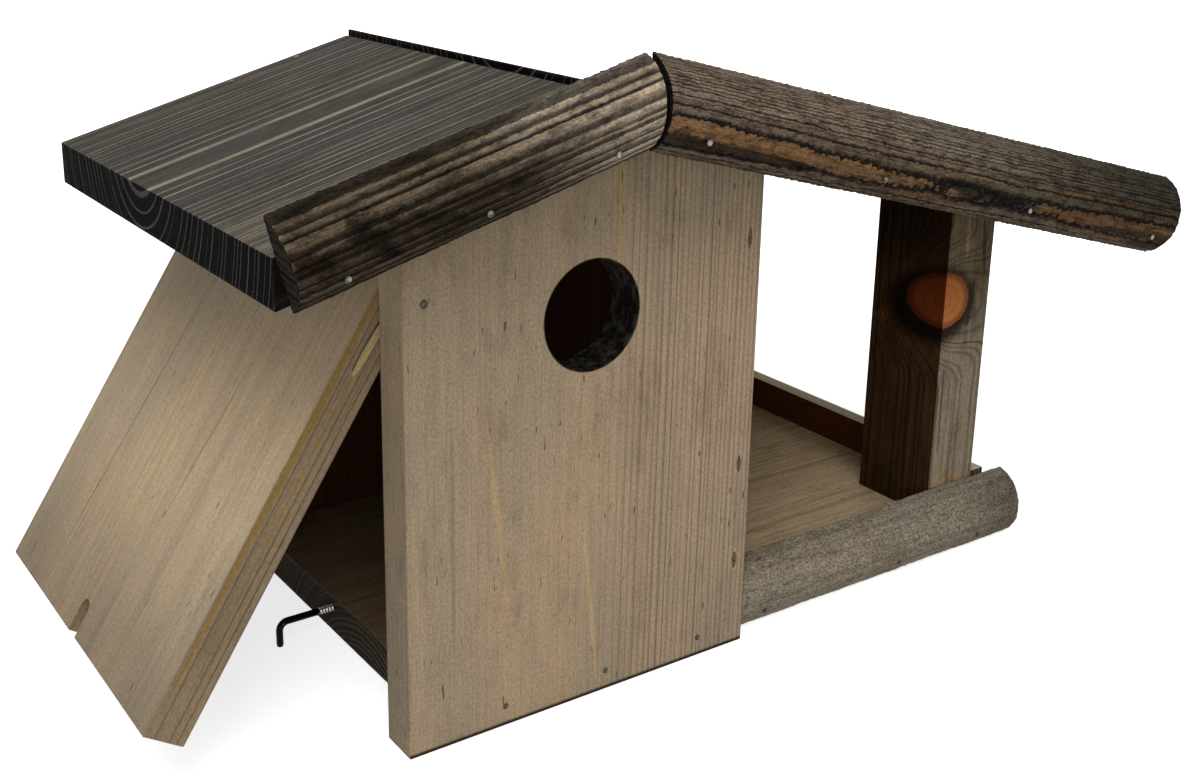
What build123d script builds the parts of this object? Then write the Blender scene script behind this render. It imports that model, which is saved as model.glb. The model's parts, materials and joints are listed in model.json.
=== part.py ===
from build123d import *

import os
from math import cos, radians, sin, sqrt, tan

# Boards, in millimetres
board_t = 18.0  # thickness of every floor, wall and roof board
nest_w = 171.0  # width of the nest's front and back boards
feeder_l = 171.0  # feeder tray, from the nest's side to the end of the base
inner_depth = 173.0  # clear depth between the front and back boards
board_ease = 0.7  # rounding along the edges of boards, lath and post

# Roof
roof_pitch = 15.0  # slope of both sides, in degrees
ridge_inset = 92.0  # ridge, measured from the nest's left edge
ridge_h = 239.0  # underside of the roof at the ridge
ridge_lap = 5.5  # right roof board past the ridge, over the left one's end
ridge_gap = 0.4  # open joint between the two roof boards
left_roof_l = 150.0  # along the slope
right_roof_l = 330.0
front_overhang = 20.0  # roof in front of the nest's front board

# Half-round trims
roof_trim_h = 37.0
roof_trim_d = 14.5
roof_trim_rise = 15.5  # how far a roof trim stands above its roof board
mitre_gap = 1.4  # open joint between the two roof trims
tray_trim_h = 37.0
tray_trim_d = 15.5
tray_trim_cut = 5.0  # sawn off below, flush with the base
tray_trim_over = 14.0  # tray trim past the end lath
trim_ease = 0.6

# Lath at the tray's end, and the post under the roof
lath_t = 9.0
lath_h = 35.5
post_w = 32.0
post_d = 46.0

# Entry hole in the front board, from its left edge and from the floor
entry_d = 45.0
entry_x = 84.5
entry_z = 168.5
entry_ease = 0.6

# Side door, hung on two nails near its top and stored half open
door_angle = 33.0
hinge_drop = 31.0  # hinge below the roof
door_over_hinge = 22.0
door_bottom = 0.7  # door above the ground when shut
door_gap = 0.5  # shut door to base
door_side_gap = 0.7  # door to the front and back boards

# Turn hook in the base's left edge, and the notch that lets the door pass it
hook_d = 3.2
hook_z = 12.5
hook_reach = 26.5  # base edge to the hanging leg
hook_embed = 20.0
hook_bend = 4.0
hook_ground = 0.8  # leg above the ground
notch_w = 8.0
notch_clear = 2.0  # notch above the hook's wire
pivot_clear = 0.05  # running clearance of the hook and of the hinge nails

# Nails
nail_d = 1.6
nail_head_d = 2.6
nail_head_t = 0.8
nail_l = 40.0
lath_nail_l = 24.0
hinge_nail_d = 2.4
hinge_head_d = 3.4
hinge_bite = 15.0  # hinge nail inside the door
nail_sink = 0.3  # heads below the surface
nail_fit = 0.02

# Where the nails go in
floor_nail_in = 26.0  # from a board's end to its first nail into the base
partition_nail_in = 6.5  # from the nest's right edge
partition_nail_low = 42.0
partition_nail_mid = 88.0
partition_nail_drop = 32.0  # below the roof
trim_nail_up = 5.5  # above the roof's underside
trim_nail_ridge = 20.0  # along the slope from the ridge
trim_nail_end = 18.0  # along the slope from the lower end
tray_nail_first = 18.0  # from the nest's side
tray_nail_mid = 106.0
tray_nail_last = 8.0  # from the end of the base
tray_nail_z = 7.0
roof_nail_rear = 6.0  # from the roof's rear edge
roof_nail_ridge = 36.0  # across from the ridge
roof_nail_eave = 22.0  # across from the nest's left edge
post_nail_in = 12.0  # from the post's faces

# Places that follow from the sizes, about the middle of the base's underside
base_l = nest_w + feeder_l - board_t - door_gap
base_left = -base_l / 2
right_x = base_l / 2
left_x = base_left - door_gap - board_t
split_x = left_x + nest_w
partition_x = split_x - board_t
post_x = right_x - post_w
ridge_x = left_x + ridge_inset
inner_front = -inner_depth / 2
inner_back = inner_depth / 2
front_y = inner_front - board_t
back_y = inner_back + board_t
roof_front = front_y - front_overhang
hinge_x = left_x + board_t / 2
post_mid_x = right_x - post_w / 2
post_mid_y = inner_front + post_d / 2
door_w = inner_depth - 2 * door_side_gap
hinge_nail_l = board_t - nail_sink + door_side_gap + hinge_bite
run, fall = cos(radians(roof_pitch)), sin(radians(roof_pitch))
roof_rise = board_t / run
hang = (Align.CENTER, Align.CENTER, Align.MAX)
stand = (Align.CENTER, Align.CENTER, Align.MIN)


def section(y):
    """Plane across the house at depth y, drawn in X and Z and facing the front."""
    return Plane.XZ.offset(-y)


def slope_under(side, x):
    """Height of one roof side's underside at x, also past the ridge."""
    return ridge_h - side * (x - ridge_x) * tan(radians(roof_pitch))


def roof_under(x):
    """Height of the roof's underside at x."""
    return min(slope_under(-1, x), slope_under(1, x))


def on_roof(side, along, up):
    """X and Z of a point on one roof side, along its slope from the ridge and up from its underside."""
    return ridge_x + side * (along * run + up * fall), ridge_h - along * fall + up * run


def bulge(chord, depth, off_middle):
    """How far a half-round of this chord and depth stands out at a place off its middle."""
    radius = (chord**2 / 4 + depth**2) / (2 * depth)
    return sqrt(radius**2 - off_middle**2) - radius + depth


def spread(first, last, count):
    """Evenly spaced places from first to last."""
    return [first + (last - first) * i / (count - 1) for i in range(count)]


def seat(point, outward):
    """Plane under a nail's head, sunk below the surface at this point."""
    return Plane(origin=point, z_dir=outward).offset(-nail_sink)


def drive(seats, shank_d=nail_d, head_d=nail_head_d, length=nail_l):
    """Add a nail at each seat to the part being built."""
    with Locations(*seats):
        Cylinder(shank_d / 2, length, align=hang)
        Cylinder(head_d / 2, nail_head_t, align=hang)


def drill(seats, shank_d=nail_d, head_d=nail_head_d, length=nail_l):
    """Cut the way of a nail at each seat out of the part being built."""
    with Locations(*seats):
        Cylinder(shank_d / 2 + nail_fit, length + nail_fit, align=hang, mode=Mode.SUBTRACT)
        Cylinder(head_d / 2 + nail_fit, nail_head_t + nail_fit, align=hang, mode=Mode.SUBTRACT)
        Cylinder(head_d / 2 + nail_fit, nail_sink + head_d, align=stand, mode=Mode.SUBTRACT)


def keep(part, name):
    """Label a finished piece and write its file."""
    part.label = name
    export_step(part, f"parts/{name}.step")


os.makedirs("parts", exist_ok=True)
FRONT, REAR, DOWN, LEFT, RIGHT = (0, -1, 0), (0, 1, 0), (0, 0, -1), (-1, 0, 0), (1, 0, 0)

# Nails through the front and back boards into the base and the partition
floor_xs = spread(base_left + floor_nail_in, split_x - floor_nail_in, 3)
partition_nail_x = split_x - partition_nail_in
partition_zs = (partition_nail_low, partition_nail_mid, roof_under(partition_nail_x) - partition_nail_drop)
wall_points = [(x, board_t / 2) for x in floor_xs] + [(partition_nail_x, z) for z in partition_zs]
front_seats = [seat((x, front_y, z), FRONT) for x, z in wall_points]
back_seats = [seat((x, back_y, z), REAR) for x, z in wall_points]
feeder_xs = spread(split_x + floor_nail_in, right_x - floor_nail_in, 3)
feeder_back_seats = [seat((x, back_y, board_t / 2), REAR) for x in feeder_xs]

# Nails through the tray's trim and lath into the base
tray_middle = tray_trim_h / 2 - tray_trim_cut
tray_bulge = bulge(tray_trim_h, tray_trim_d, tray_nail_z - tray_middle)
tray_xs = (split_x + tray_nail_first, split_x + tray_nail_mid, right_x - tray_nail_last)
tray_seats = [seat((x, inner_front - tray_bulge, tray_nail_z), FRONT) for x in tray_xs]
lath_ys = spread(inner_front + floor_nail_in, inner_back - floor_nail_in, 3)
lath_seats = [seat((right_x + lath_t, y, board_t / 2), RIGHT) for y in lath_ys]

# Nails up through the base into the partition and the post
base_points = [(split_x - board_t / 2, y) for y in (inner_front + floor_nail_in, inner_back - floor_nail_in)]
base_points += [(x, post_mid_y) for x in (post_x + post_nail_in, right_x - post_nail_in)]
base_seats = [seat((x, y, 0), DOWN) for x, y in base_points]

# Nails down through the roof boards, and back through the roof trims
roof_side_l = {-1: left_roof_l, 1: right_roof_l}
wall_front_y = front_y + board_t / 2
wall_rear_y = back_y - roof_nail_rear
left_places = [(x, y) for x in (left_x + roof_nail_eave, ridge_x - roof_nail_ridge)
               for y in (wall_front_y, wall_rear_y)]
right_places = [(ridge_x + roof_nail_ridge, y) for y in (wall_front_y, wall_rear_y)]
right_places += [(post_mid_x, post_mid_y), (post_mid_x, wall_rear_y)]
roof_seats = {}
for side, places in ((-1, left_places), (1, right_places)):
    upward = (side * fall, 0, run)
    roof_seats[side] = [seat((x, y, roof_under(x) + roof_rise), upward) for x, y in places]

trim_low = board_t + roof_trim_rise - roof_trim_h
trim_middle = trim_low + roof_trim_h / 2
trim_nail_y = roof_front - bulge(roof_trim_h, roof_trim_d, trim_nail_up - trim_middle)
trim_seats = {}
for side, count in ((-1, 3), (1, 4)):
    places = spread(trim_nail_ridge, roof_side_l[side] - trim_nail_end, count)
    points = [on_roof(side, along, trim_nail_up) for along in places]
    trim_seats[side] = [seat((x, trim_nail_y, z), FRONT) for x, z in points]

# Hinge nails, one from each end board
hinge_z = roof_under(hinge_x) - hinge_drop
hinge_front_seat = seat((hinge_x, front_y, hinge_z), FRONT)
hinge_back_seat = seat((hinge_x, back_y, hinge_z), REAR)
hinge_sizes = {"shank_d": hinge_nail_d, "head_d": hinge_head_d, "length": hinge_nail_l}

# Outline of the nest's end boards
with BuildSketch() as gable:
    with BuildLine():
        Polyline(
            (left_x, 0),
            (split_x, 0),
            (split_x, roof_under(split_x)),
            (ridge_x, ridge_h),
            (left_x, roof_under(left_x)),
            close=True,
        )
    make_face()

# Base board, one floor for the nest and the tray
with BuildPart() as base_board:
    Box(base_l, inner_depth, board_t, align=stand)
    fillet(base_board.edges(), radius=board_ease)
    for seats in (front_seats, back_seats, feeder_back_seats, tray_seats, base_seats):
        drill(seats)
    drill(lath_seats, length=lath_nail_l)
    with Locations(Plane(origin=(base_left, 0, hook_z), z_dir=LEFT)):
        Hole(hook_d / 2 + pivot_clear, depth=hook_embed + pivot_clear)
keep(base_board.part, "base_board")

# Front board with the round entry
with BuildPart() as front_panel:
    with BuildSketch(section(inner_front)):
        add(gable.sketch)
    extrude(amount=board_t)
    fillet(front_panel.edges(), radius=board_ease)
    with Locations(Plane(origin=(left_x + entry_x, front_y, entry_z), z_dir=FRONT)):
        Hole(entry_d / 2)
    rims = front_panel.edges().filter_by(GeomType.CIRCLE).sort_by(SortBy.RADIUS)[-2:]
    fillet(rims, radius=entry_ease)
    drill(front_seats)
    drill([hinge_front_seat], **hinge_sizes)
    drill(roof_seats[-1] + roof_seats[1])
keep(front_panel.part, "front_panel")

# Back board of the nest
with BuildPart() as back_panel:
    with BuildSketch(section(back_y)):
        add(gable.sketch)
    extrude(amount=board_t)
    fillet(back_panel.edges(), radius=board_ease)
    drill(back_seats)
    drill([hinge_back_seat], **hinge_sizes)
    drill(roof_seats[-1] + roof_seats[1])
keep(back_panel.part, "back_panel")

# Back board of the feeder
with BuildPart() as feeder_back_panel:
    with BuildSketch(section(back_y)):
        with BuildLine():
            Polyline(
                (split_x, 0),
                (right_x, 0),
                (right_x, roof_under(right_x)),
                (split_x, roof_under(split_x)),
                close=True,
            )
        make_face()
    extrude(amount=board_t)
    fillet(feeder_back_panel.edges(), radius=board_ease)
    drill(feeder_back_seats)
    drill(roof_seats[1])
keep(feeder_back_panel.part, "feeder_back_panel")

# Partition between the nest and the feeder
with BuildPart() as partition_wall:
    with BuildSketch(section(inner_back)):
        with BuildLine():
            Polyline(
                (partition_x, board_t),
                (split_x, board_t),
                (split_x, roof_under(split_x)),
                (partition_x, roof_under(partition_x)),
                close=True,
            )
        make_face()
    extrude(amount=inner_depth)
    fillet(partition_wall.edges(), radius=board_ease)
    for seats in (front_seats, back_seats, base_seats):
        drill(seats)
keep(partition_wall.part, "partition_wall")

# Post under the feeder's roof, cut to the slope
with BuildPart() as feeder_post:
    with BuildSketch(section(inner_front + post_d)):
        with BuildLine():
            Polyline(
                (post_x, board_t),
                (right_x, board_t),
                (right_x, roof_under(right_x)),
                (post_x, roof_under(post_x)),
                close=True,
            )
        make_face()
    extrude(amount=post_d)
    fillet(feeder_post.edges(), radius=board_ease)
    drill(base_seats)
    drill(roof_seats[1])
keep(feeder_post.part, "feeder_post")

# Roof boards, cut plumb at both ends, and their half-round trims
for side, side_name in ((-1, "left"), (1, "right")):
    slope_l = roof_side_l[side]
    ridge_end = ridge_x - ridge_lap + side * ridge_gap / 2
    eave_end = on_roof(side, slope_l, board_t)[0]
    with BuildPart() as roof_board:
        with BuildSketch(section(back_y)):
            with BuildLine():
                Polyline(
                    (ridge_end, slope_under(side, ridge_end)),
                    (eave_end, slope_under(side, eave_end)),
                    (eave_end, slope_under(side, eave_end) + roof_rise),
                    (ridge_end, slope_under(side, ridge_end) + roof_rise),
                    close=True,
                )
            make_face()
        extrude(amount=back_y - roof_front)
        fillet(roof_board.edges(), radius=board_ease)
        drill(roof_seats[side])
        drill(trim_seats[side])
    keep(roof_board.part, f"roof_board_{side_name}")

    with BuildPart() as roof_trim:
        start_x, start_z = on_roof(side, -roof_trim_h, 0)
        across = Plane(
            origin=(start_x, roof_front, start_z),
            x_dir=(side * fall, 0, run),
            z_dir=(side * run, 0, -fall),
        )
        with BuildSketch(across):
            with BuildLine():
                low, high = (trim_low, 0), (trim_low + roof_trim_h, 0)
                ThreePointArc(low, (trim_middle, side * roof_trim_d), high)
                Line(high, low)
            make_face()
        extrude(amount=roof_trim_h + slope_l)
        mitre = Plane.YZ.offset(ridge_x + side * mitre_gap / 2)
        split(bisect_by=mitre, keep=Keep.TOP if side > 0 else Keep.BOTTOM)
        fillet(roof_trim.edges(), radius=trim_ease)
        drill(trim_seats[side])
    keep(roof_trim.part, f"roof_trim_{side_name}")

# Half-round lip along the tray's front, its lower edge sawn flat
with BuildPart() as tray_front_trim:
    with BuildSketch(Plane.YZ.offset(split_x)):
        with BuildLine():
            low = (inner_front - bulge(tray_trim_h, tray_trim_d, tray_middle), 0)
            high = (inner_front, tray_trim_h - tray_trim_cut)
            ThreePointArc(low, (inner_front - tray_trim_d, tray_middle), high)
            Polyline(high, (inner_front, 0), low)
        make_face()
    extrude(amount=feeder_l + lath_t + tray_trim_over)
    fillet(tray_front_trim.edges(), radius=trim_ease)
    drill(tray_seats)
keep(tray_front_trim.part, "tray_front_trim")

# Lath that closes the tray's end
with BuildPart() as tray_end_lath:
    with Locations((right_x, inner_front, 0)):
        Box(lath_t, back_y - inner_front, lath_h, align=(Align.MIN, Align.MIN, Align.MIN))
    fillet(tray_end_lath.edges(), radius=board_ease)
    drill(lath_seats, length=lath_nail_l)
keep(tray_end_lath.part, "tray_end_lath")

# Side door, drawn on its own plane through the hinge axis
door_plane = Plane(
    origin=(hinge_x, 0, hinge_z),
    x_dir=REAR,
    z_dir=(cos(radians(door_angle)), 0, -sin(radians(door_angle))),
)
door_low = door_bottom - hinge_z
notch_top = hook_z + hook_d / 2 + notch_clear - hinge_z
with BuildPart() as side_door:
    with BuildSketch(door_plane):
        with Locations((0, door_low)):
            Rectangle(door_w, door_over_hinge - door_low, align=(Align.CENTER, Align.MIN))
    extrude(amount=board_t / 2, both=True)
    fillet(side_door.edges(), radius=board_ease)
    with BuildSketch(door_plane):
        with Locations((0, notch_top - notch_w / 2)):
            Circle(notch_w / 2)
            Rectangle(notch_w, 2 * (notch_top - door_low), align=(Align.CENTER, Align.MAX))
    extrude(amount=board_t, both=True, mode=Mode.SUBTRACT)
    bores = [Plane(origin=(hinge_x, y, hinge_z), z_dir=out)
             for y, out in ((-door_w / 2, FRONT), (door_w / 2, REAR))]
    with Locations(*bores):
        Hole(hinge_nail_d / 2 + pivot_clear, depth=hinge_bite + pivot_clear)
keep(side_door.part, "side_door")

# Turn hook, one bent wire with its leg hanging down
with BuildPart() as latch_hook:
    leg_x = base_left - hook_reach
    with BuildLine() as wire:
        FilletPolyline(
            (base_left + hook_embed, 0, hook_z),
            (leg_x, 0, hook_z),
            (leg_x, 0, hook_ground),
            radius=hook_bend,
        )
    with BuildSketch(Plane(origin=wire.line @ 0, z_dir=wire.line % 0)):
        Circle(hook_d / 2)
    sweep()
keep(latch_hook.part, "latch_hook")

# Hinge nails
with BuildPart() as hinge_nail_front:
    drive([hinge_front_seat], **hinge_sizes)
keep(hinge_nail_front.part, "hinge_nail_front")

with BuildPart() as hinge_nail_back:
    drive([hinge_back_seat], **hinge_sizes)
keep(hinge_nail_back.part, "hinge_nail_back")

# Nails that hold the boards, one group for each place
nail_groups = {
    "front_panel_nails": (front_seats, nail_l),
    "back_panel_nails": (back_seats, nail_l),
    "feeder_back_nails": (feeder_back_seats, nail_l),
    "base_nails": (base_seats, nail_l),
    "roof_board_nails": (roof_seats[-1] + roof_seats[1], nail_l),
    "roof_trim_nails": (trim_seats[-1] + trim_seats[1], nail_l),
    "tray_trim_nails": (tray_seats, nail_l),
    "lath_nails": (lath_seats, lath_nail_l),
}
for name, (seats, length) in nail_groups.items():
    with BuildPart() as nails:
        drive(seats, length=length)
    keep(nails.part, name)
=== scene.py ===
"""Looks of a stained softwood nest box with a feeder tray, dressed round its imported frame."""

from __future__ import annotations

import json
import logging
import math
from dataclasses import dataclass
from enum import Enum, IntEnum
from typing import Any, Sequence

import bpy
from mathutils import Matrix, Vector

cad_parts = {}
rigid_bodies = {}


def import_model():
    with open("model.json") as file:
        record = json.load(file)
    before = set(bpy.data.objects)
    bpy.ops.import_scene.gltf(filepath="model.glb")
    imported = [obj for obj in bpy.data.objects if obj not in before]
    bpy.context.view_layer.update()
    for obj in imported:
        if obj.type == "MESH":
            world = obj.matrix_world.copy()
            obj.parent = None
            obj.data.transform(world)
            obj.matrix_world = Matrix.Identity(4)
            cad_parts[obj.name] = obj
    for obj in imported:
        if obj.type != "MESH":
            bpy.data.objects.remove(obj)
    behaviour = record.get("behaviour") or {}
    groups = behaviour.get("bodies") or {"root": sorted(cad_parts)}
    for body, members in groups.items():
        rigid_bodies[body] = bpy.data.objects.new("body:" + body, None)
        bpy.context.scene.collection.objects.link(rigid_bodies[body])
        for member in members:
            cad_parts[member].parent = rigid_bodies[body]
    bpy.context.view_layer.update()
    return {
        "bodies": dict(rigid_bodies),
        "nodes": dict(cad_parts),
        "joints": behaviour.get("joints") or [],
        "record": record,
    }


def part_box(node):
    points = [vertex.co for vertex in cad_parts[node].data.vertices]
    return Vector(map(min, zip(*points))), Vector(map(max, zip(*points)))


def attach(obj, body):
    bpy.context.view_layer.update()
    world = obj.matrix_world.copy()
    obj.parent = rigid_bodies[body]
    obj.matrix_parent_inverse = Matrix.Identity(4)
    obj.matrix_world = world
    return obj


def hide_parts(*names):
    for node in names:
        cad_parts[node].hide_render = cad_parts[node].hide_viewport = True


Colour = tuple[float, float, float]
Point = tuple[float, float, float]
Pair = tuple[float, float]

LOG = logging.getLogger("nest_box")
MM = 0.001
HALF = 0.5
WELD = 1e-6

FRONT: Point = (0, -1, 0)
REAR: Point = (0, 1, 0)
LEFT: Point = (-1, 0, 0)
RIGHT: Point = (1, 0, 0)
TOP: Point = (0, 0, 1)
UNDER: Point = (0, 0, -1)


class Body(Enum):
    """Bodies of the frame that new pieces ride on."""

    HOUSE = "house"
    HOOK = "hook"


class Slot(Enum):
    """Material slots of the record."""

    HOOK = "dark_steel"
    NAIL = "nail_steel"
    ROOF_TRIM = "trim_wood"
    TRAY_TRIM = "tray_trim_wood"


class Blend(Enum):
    """Ways in which two colours are combined."""

    MIX = "MIX"
    MULTIPLY = "MULTIPLY"


class Side(IntEnum):
    """Sides of the roof, by their direction along X."""

    LEFT = -1
    RIGHT = 1

    @property
    def label(self) -> str:
        """The side's word in the names of pieces."""
        return self.name.lower()


# The display's curve: its highest value, then where and how steeply it starts, its offset and its power.
DISPLAY_TOP = 255
CURVE_START, CURVE_SLOPE, CURVE_OFFSET, CURVE_POWER = 0.04045, 12.92, 0.055, 2.4


def stain(red: int, green: int, blue: int) -> Colour:
    """A colour written in display values, as the shader's own linear values.

    Args:
        red: first channel, from 0 to 255.
        green: second channel.
        blue: third channel.

    Returns:
        The linear colour.
    """
    shares = (part / DISPLAY_TOP for part in (red, green, blue))
    return tuple(
        share / CURVE_SLOPE if share <= CURVE_START
        else ((share + CURVE_OFFSET) / (1 + CURVE_OFFSET)) ** CURVE_POWER
        for share in shares
    )


SOOT = stain(16, 13, 11)
# Painted shade on the faces inside the nest and on the door's inner face, over a darker inside stain.
INSIDE_SHADE = stain(92, 54, 28)
RESIN = stain(182, 154, 110)
CRACK = stain(46, 38, 30)
WHITE: Colour = (1.0, 1.0, 1.0)


class Value:
    """A number that varies over a surface; its arithmetic adds Math nodes."""

    def __init__(self, graph: Graph, socket: bpy.types.NodeSocket) -> None:
        """Keep the graph that the socket belongs to."""
        self.graph = graph
        self.socket = socket

    def _math(self, operation: str, *others: Any, swap: bool = False) -> Value:
        """One Math node on this value.

        Args:
            operation: the node's operation.
            others: the values or numbers of its other sockets.
            swap: whether the first of the others comes before this value.

        Returns:
            The node's result.
        """
        terms = [self, *others]
        if swap:
            terms[0], terms[1] = terms[1], terms[0]
        node = self.graph.add("ShaderNodeMath", {"operation": operation}, dict(enumerate(terms)))
        return Value(self.graph, node.outputs[0])

    def __add__(self, other: Any) -> Value:
        """Sum."""
        return self._math("ADD", other)

    __radd__ = __add__

    def __sub__(self, other: Any) -> Value:
        """Difference."""
        return self._math("SUBTRACT", other)

    def __rsub__(self, other: Any) -> Value:
        """Difference from a number."""
        return self._math("SUBTRACT", other, swap=True)

    def __mul__(self, other: Any) -> Value:
        """Product."""
        return self._math("MULTIPLY", other)

    __rmul__ = __mul__

    def __truediv__(self, other: Any) -> Value:
        """Quotient."""
        return self._math("DIVIDE", other)

    def __rtruediv__(self, other: Any) -> Value:
        """A number over this value."""
        return self._math("DIVIDE", other, swap=True)

    def __abs__(self) -> Value:
        """Size without sign."""
        return self._math("ABSOLUTE")

    def fract(self) -> Value:
        """Part after the point."""
        return self._math("FRACT")

    def floor(self) -> Value:
        """Whole part."""
        return self._math("FLOOR")

    def root(self) -> Value:
        """Square root."""
        return self._math("SQRT")

    def cosine(self) -> Value:
        """Cosine of an angle in radians."""
        return self._math("COSINE")

    def least(self, other: Any) -> Value:
        """The smaller of two."""
        return self._math("MINIMUM", other)

    def most(self, other: Any) -> Value:
        """The larger of two."""
        return self._math("MAXIMUM", other)

    def rise(self, low: Any, high: Any, start: float = 0.0, end: float = 1.0) -> Value:
        """A smooth step.

        Args:
            low: value where the step begins.
            high: value where it is complete.
            start: result below the step.
            end: result above it.

        Returns:
            The stepped value.
        """
        node = self.graph.add(
            "ShaderNodeMapRange",
            {"interpolation_type": "SMOOTHSTEP"},
            {"Value": self, "From Min": low, "From Max": high, "To Min": start, "To Max": end},
        )
        return Value(self.graph, node.outputs["Result"])


@dataclass(frozen=True)
class Waves:
    """Noise with its waves for each unit across and along, its octaves, and the levels it is read between."""

    across: float
    along: float
    detail: float = 2.0
    rough: float = 0.5
    step: Pair = (0.25, 0.75)
    height: float = 0.0


class Graph:
    """The node tree of one material or of the world."""

    MIX_FACTOR, MIX_FIRST, MIX_SECOND, MIX_RESULT = 0, 6, 7, 2

    def __init__(self, tree: bpy.types.NodeTree) -> None:
        """Start from an empty tree."""
        self.tree = tree
        tree.nodes.clear()

    def add(
        self, kind: str, settings: dict[str, Any] | None = None, inputs: dict[Any, Any] | None = None
    ) -> bpy.types.Node:
        """Add one node.

        Args:
            kind: the node's type.
            settings: its properties, set first.
            inputs: values or links of its sockets, by name or number.

        Returns:
            The new node.
        """
        node = self.tree.nodes.new(kind)
        for key, setting in (settings or {}).items():
            setattr(node, key, setting)
        for key, given in (inputs or {}).items():
            socket = node.inputs[key]
            if isinstance(given, Value):
                self.tree.links.new(given.socket, socket)
            elif isinstance(given, bpy.types.NodeSocket):
                self.tree.links.new(given, socket)
            elif socket.type == "RGBA" and len(given) == 3:
                socket.default_value = (*given, 1.0)
            else:
                socket.default_value = given
        return node

    def vector_math(self, operation: str, *terms: Any) -> bpy.types.Node:
        """One Vector Math node."""
        return self.add("ShaderNodeVectorMath", {"operation": operation}, dict(enumerate(terms)))

    def stretch(self, vector: Any, factors: Point) -> bpy.types.NodeSocket:
        """A vector with each axis multiplied by its own factor."""
        return self.vector_math("MULTIPLY", vector, factors).outputs["Vector"]

    def offset(self, place: Any, start: Point) -> bpy.types.NodeSocket:
        """Vector from a fixed point to the surface."""
        return self.vector_math("SUBTRACT", place, start).outputs["Vector"]

    def along(self, vector: Any, direction: Sequence[float]) -> Value:
        """How far a vector points along a direction."""
        return Value(self, self.vector_math("DOT_PRODUCT", vector, tuple(direction)).outputs["Value"])

    def span(self, vector: Any) -> Value:
        """Length of a vector."""
        return Value(self, self.vector_math("LENGTH", vector).outputs["Value"])

    def off_axis(self, place: Any, start: Point, run: Sequence[float]) -> Value:
        """Distance from a line.

        Args:
            place: object coordinates.
            start: a point of the line.
            run: its direction.

        Returns:
            The distance in millimetres.
        """
        reach = self.offset(place, start)
        cross = self.vector_math("CROSS_PRODUCT", reach, tuple(Vector(run).normalized()))
        return self.span(cross.outputs["Vector"]) / MM

    def noise(self, vector: Any, waves: Waves) -> Value:
        """Smooth noise.

        Args:
            vector: where it is read.
            waves: its waves and octaves.

        Returns:
            The noise, about 0 to 1 with its middle at one half.
        """
        place = self.stretch(vector, (waves.across, waves.across, waves.along))
        node = self.add(
            "ShaderNodeTexNoise",
            None,
            {"Vector": place, "Scale": 1.0, "Detail": waves.detail, "Roughness": waves.rough},
        )
        return Value(self, node.outputs[0])

    def mix(self, factor: Any, first: Any, second: Any, blend: Blend = Blend.MIX) -> bpy.types.NodeSocket:
        """Blend of two colours.

        Args:
            factor: share of the second colour.
            first: the colour at zero.
            second: the colour at one.
            blend: how the two are combined.

        Returns:
            The blended colour.
        """
        node = self.add(
            "ShaderNodeMix",
            {"data_type": "RGBA", "blend_type": blend.value, "clamp_factor": True},
            {self.MIX_FACTOR: factor, self.MIX_FIRST: first, self.MIX_SECOND: second},
        )
        return node.outputs[self.MIX_RESULT]

    def times(self, first: Any, second: Any) -> bpy.types.NodeSocket:
        """Product of two colours."""
        return self.mix(1.0, first, second, Blend.MULTIPLY)

    def grey(self, share: Value) -> bpy.types.NodeSocket:
        """A grey colour of this share."""
        return self.add("ShaderNodeCombineColor", None, {0: share, 1: share, 2: share}).outputs[0]

    def bump(self, height: Value, strength: float) -> bpy.types.NodeSocket:
        """Normal that follows a height in millimetres."""
        node = self.add("ShaderNodeBump", None, {"Strength": strength, "Distance": MM, "Height": height})
        return node.outputs["Normal"]

    def close(self, shader: bpy.types.Node, kind: str = "ShaderNodeOutputMaterial") -> None:
        """Send a shader to the tree's output."""
        self.add(kind, None, {"Surface": shader.outputs[0]})


def new_finish(name: str) -> tuple[bpy.types.Material, Graph]:
    """An empty material and its node tree.

    Args:
        name: the material's name.

    Returns:
        The material and the graph that fills it.
    """
    made = bpy.data.materials.new(name)
    made.use_nodes = True
    return made, Graph(made.node_tree)


@dataclass(frozen=True)
class Shade:
    """Darker tone on the faces that look one way, and past a place along one axis: mostly painted shade where
    a face gets less light, in some uses deeper stain and dirt.
    """

    faces: Point
    tone: Colour
    amount: float = 0.8
    along: Point | None = None
    start: float = 0.0
    end: float = 0.0


@dataclass(frozen=True)
class Knot:
    """A branch through a board, seen where a face cuts it, and also the painted shadow under one; its steps
    are shares of its radius.
    """

    place: Point
    run: Point
    radius: float
    core: Colour
    halo: Colour
    rim: Colour
    fray: float = 0.3
    bend: Pair = (0.6, 2.8)
    push: float = 0.9
    halo_step: Pair = (0.98, 1.5)
    halo_amount: float = 0.85
    rings: float = 3.3
    ring_step: Pair = (0.4, 0.95)
    ring_amount: float = 0.2
    rim_step: Pair = (0.7, 1.0)
    rim_amount: float = 0.6
    outline: Pair = (0.95, 1.03)


@dataclass(frozen=True)
class Streak:
    """A long thin mark in the wood, widest in its middle: resin, a crack or a stain."""

    start: Point
    end: Point
    width: float
    tone: Colour
    amount: float = 0.8
    core: float = 0.35
    fray: float = 0.3
    thinnest: float = 0.001


@dataclass(frozen=True)
class Bore:
    """A hole whose wall is painted darker: painted shade inside the bore, mottled by its cut grain."""

    place: Point
    run: Point
    radius: float
    tone: Colour
    edge: Pair = (0.3, 1.0)
    tones: Pair = (0.15, 2.6)
    gain: float = 2.0


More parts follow.
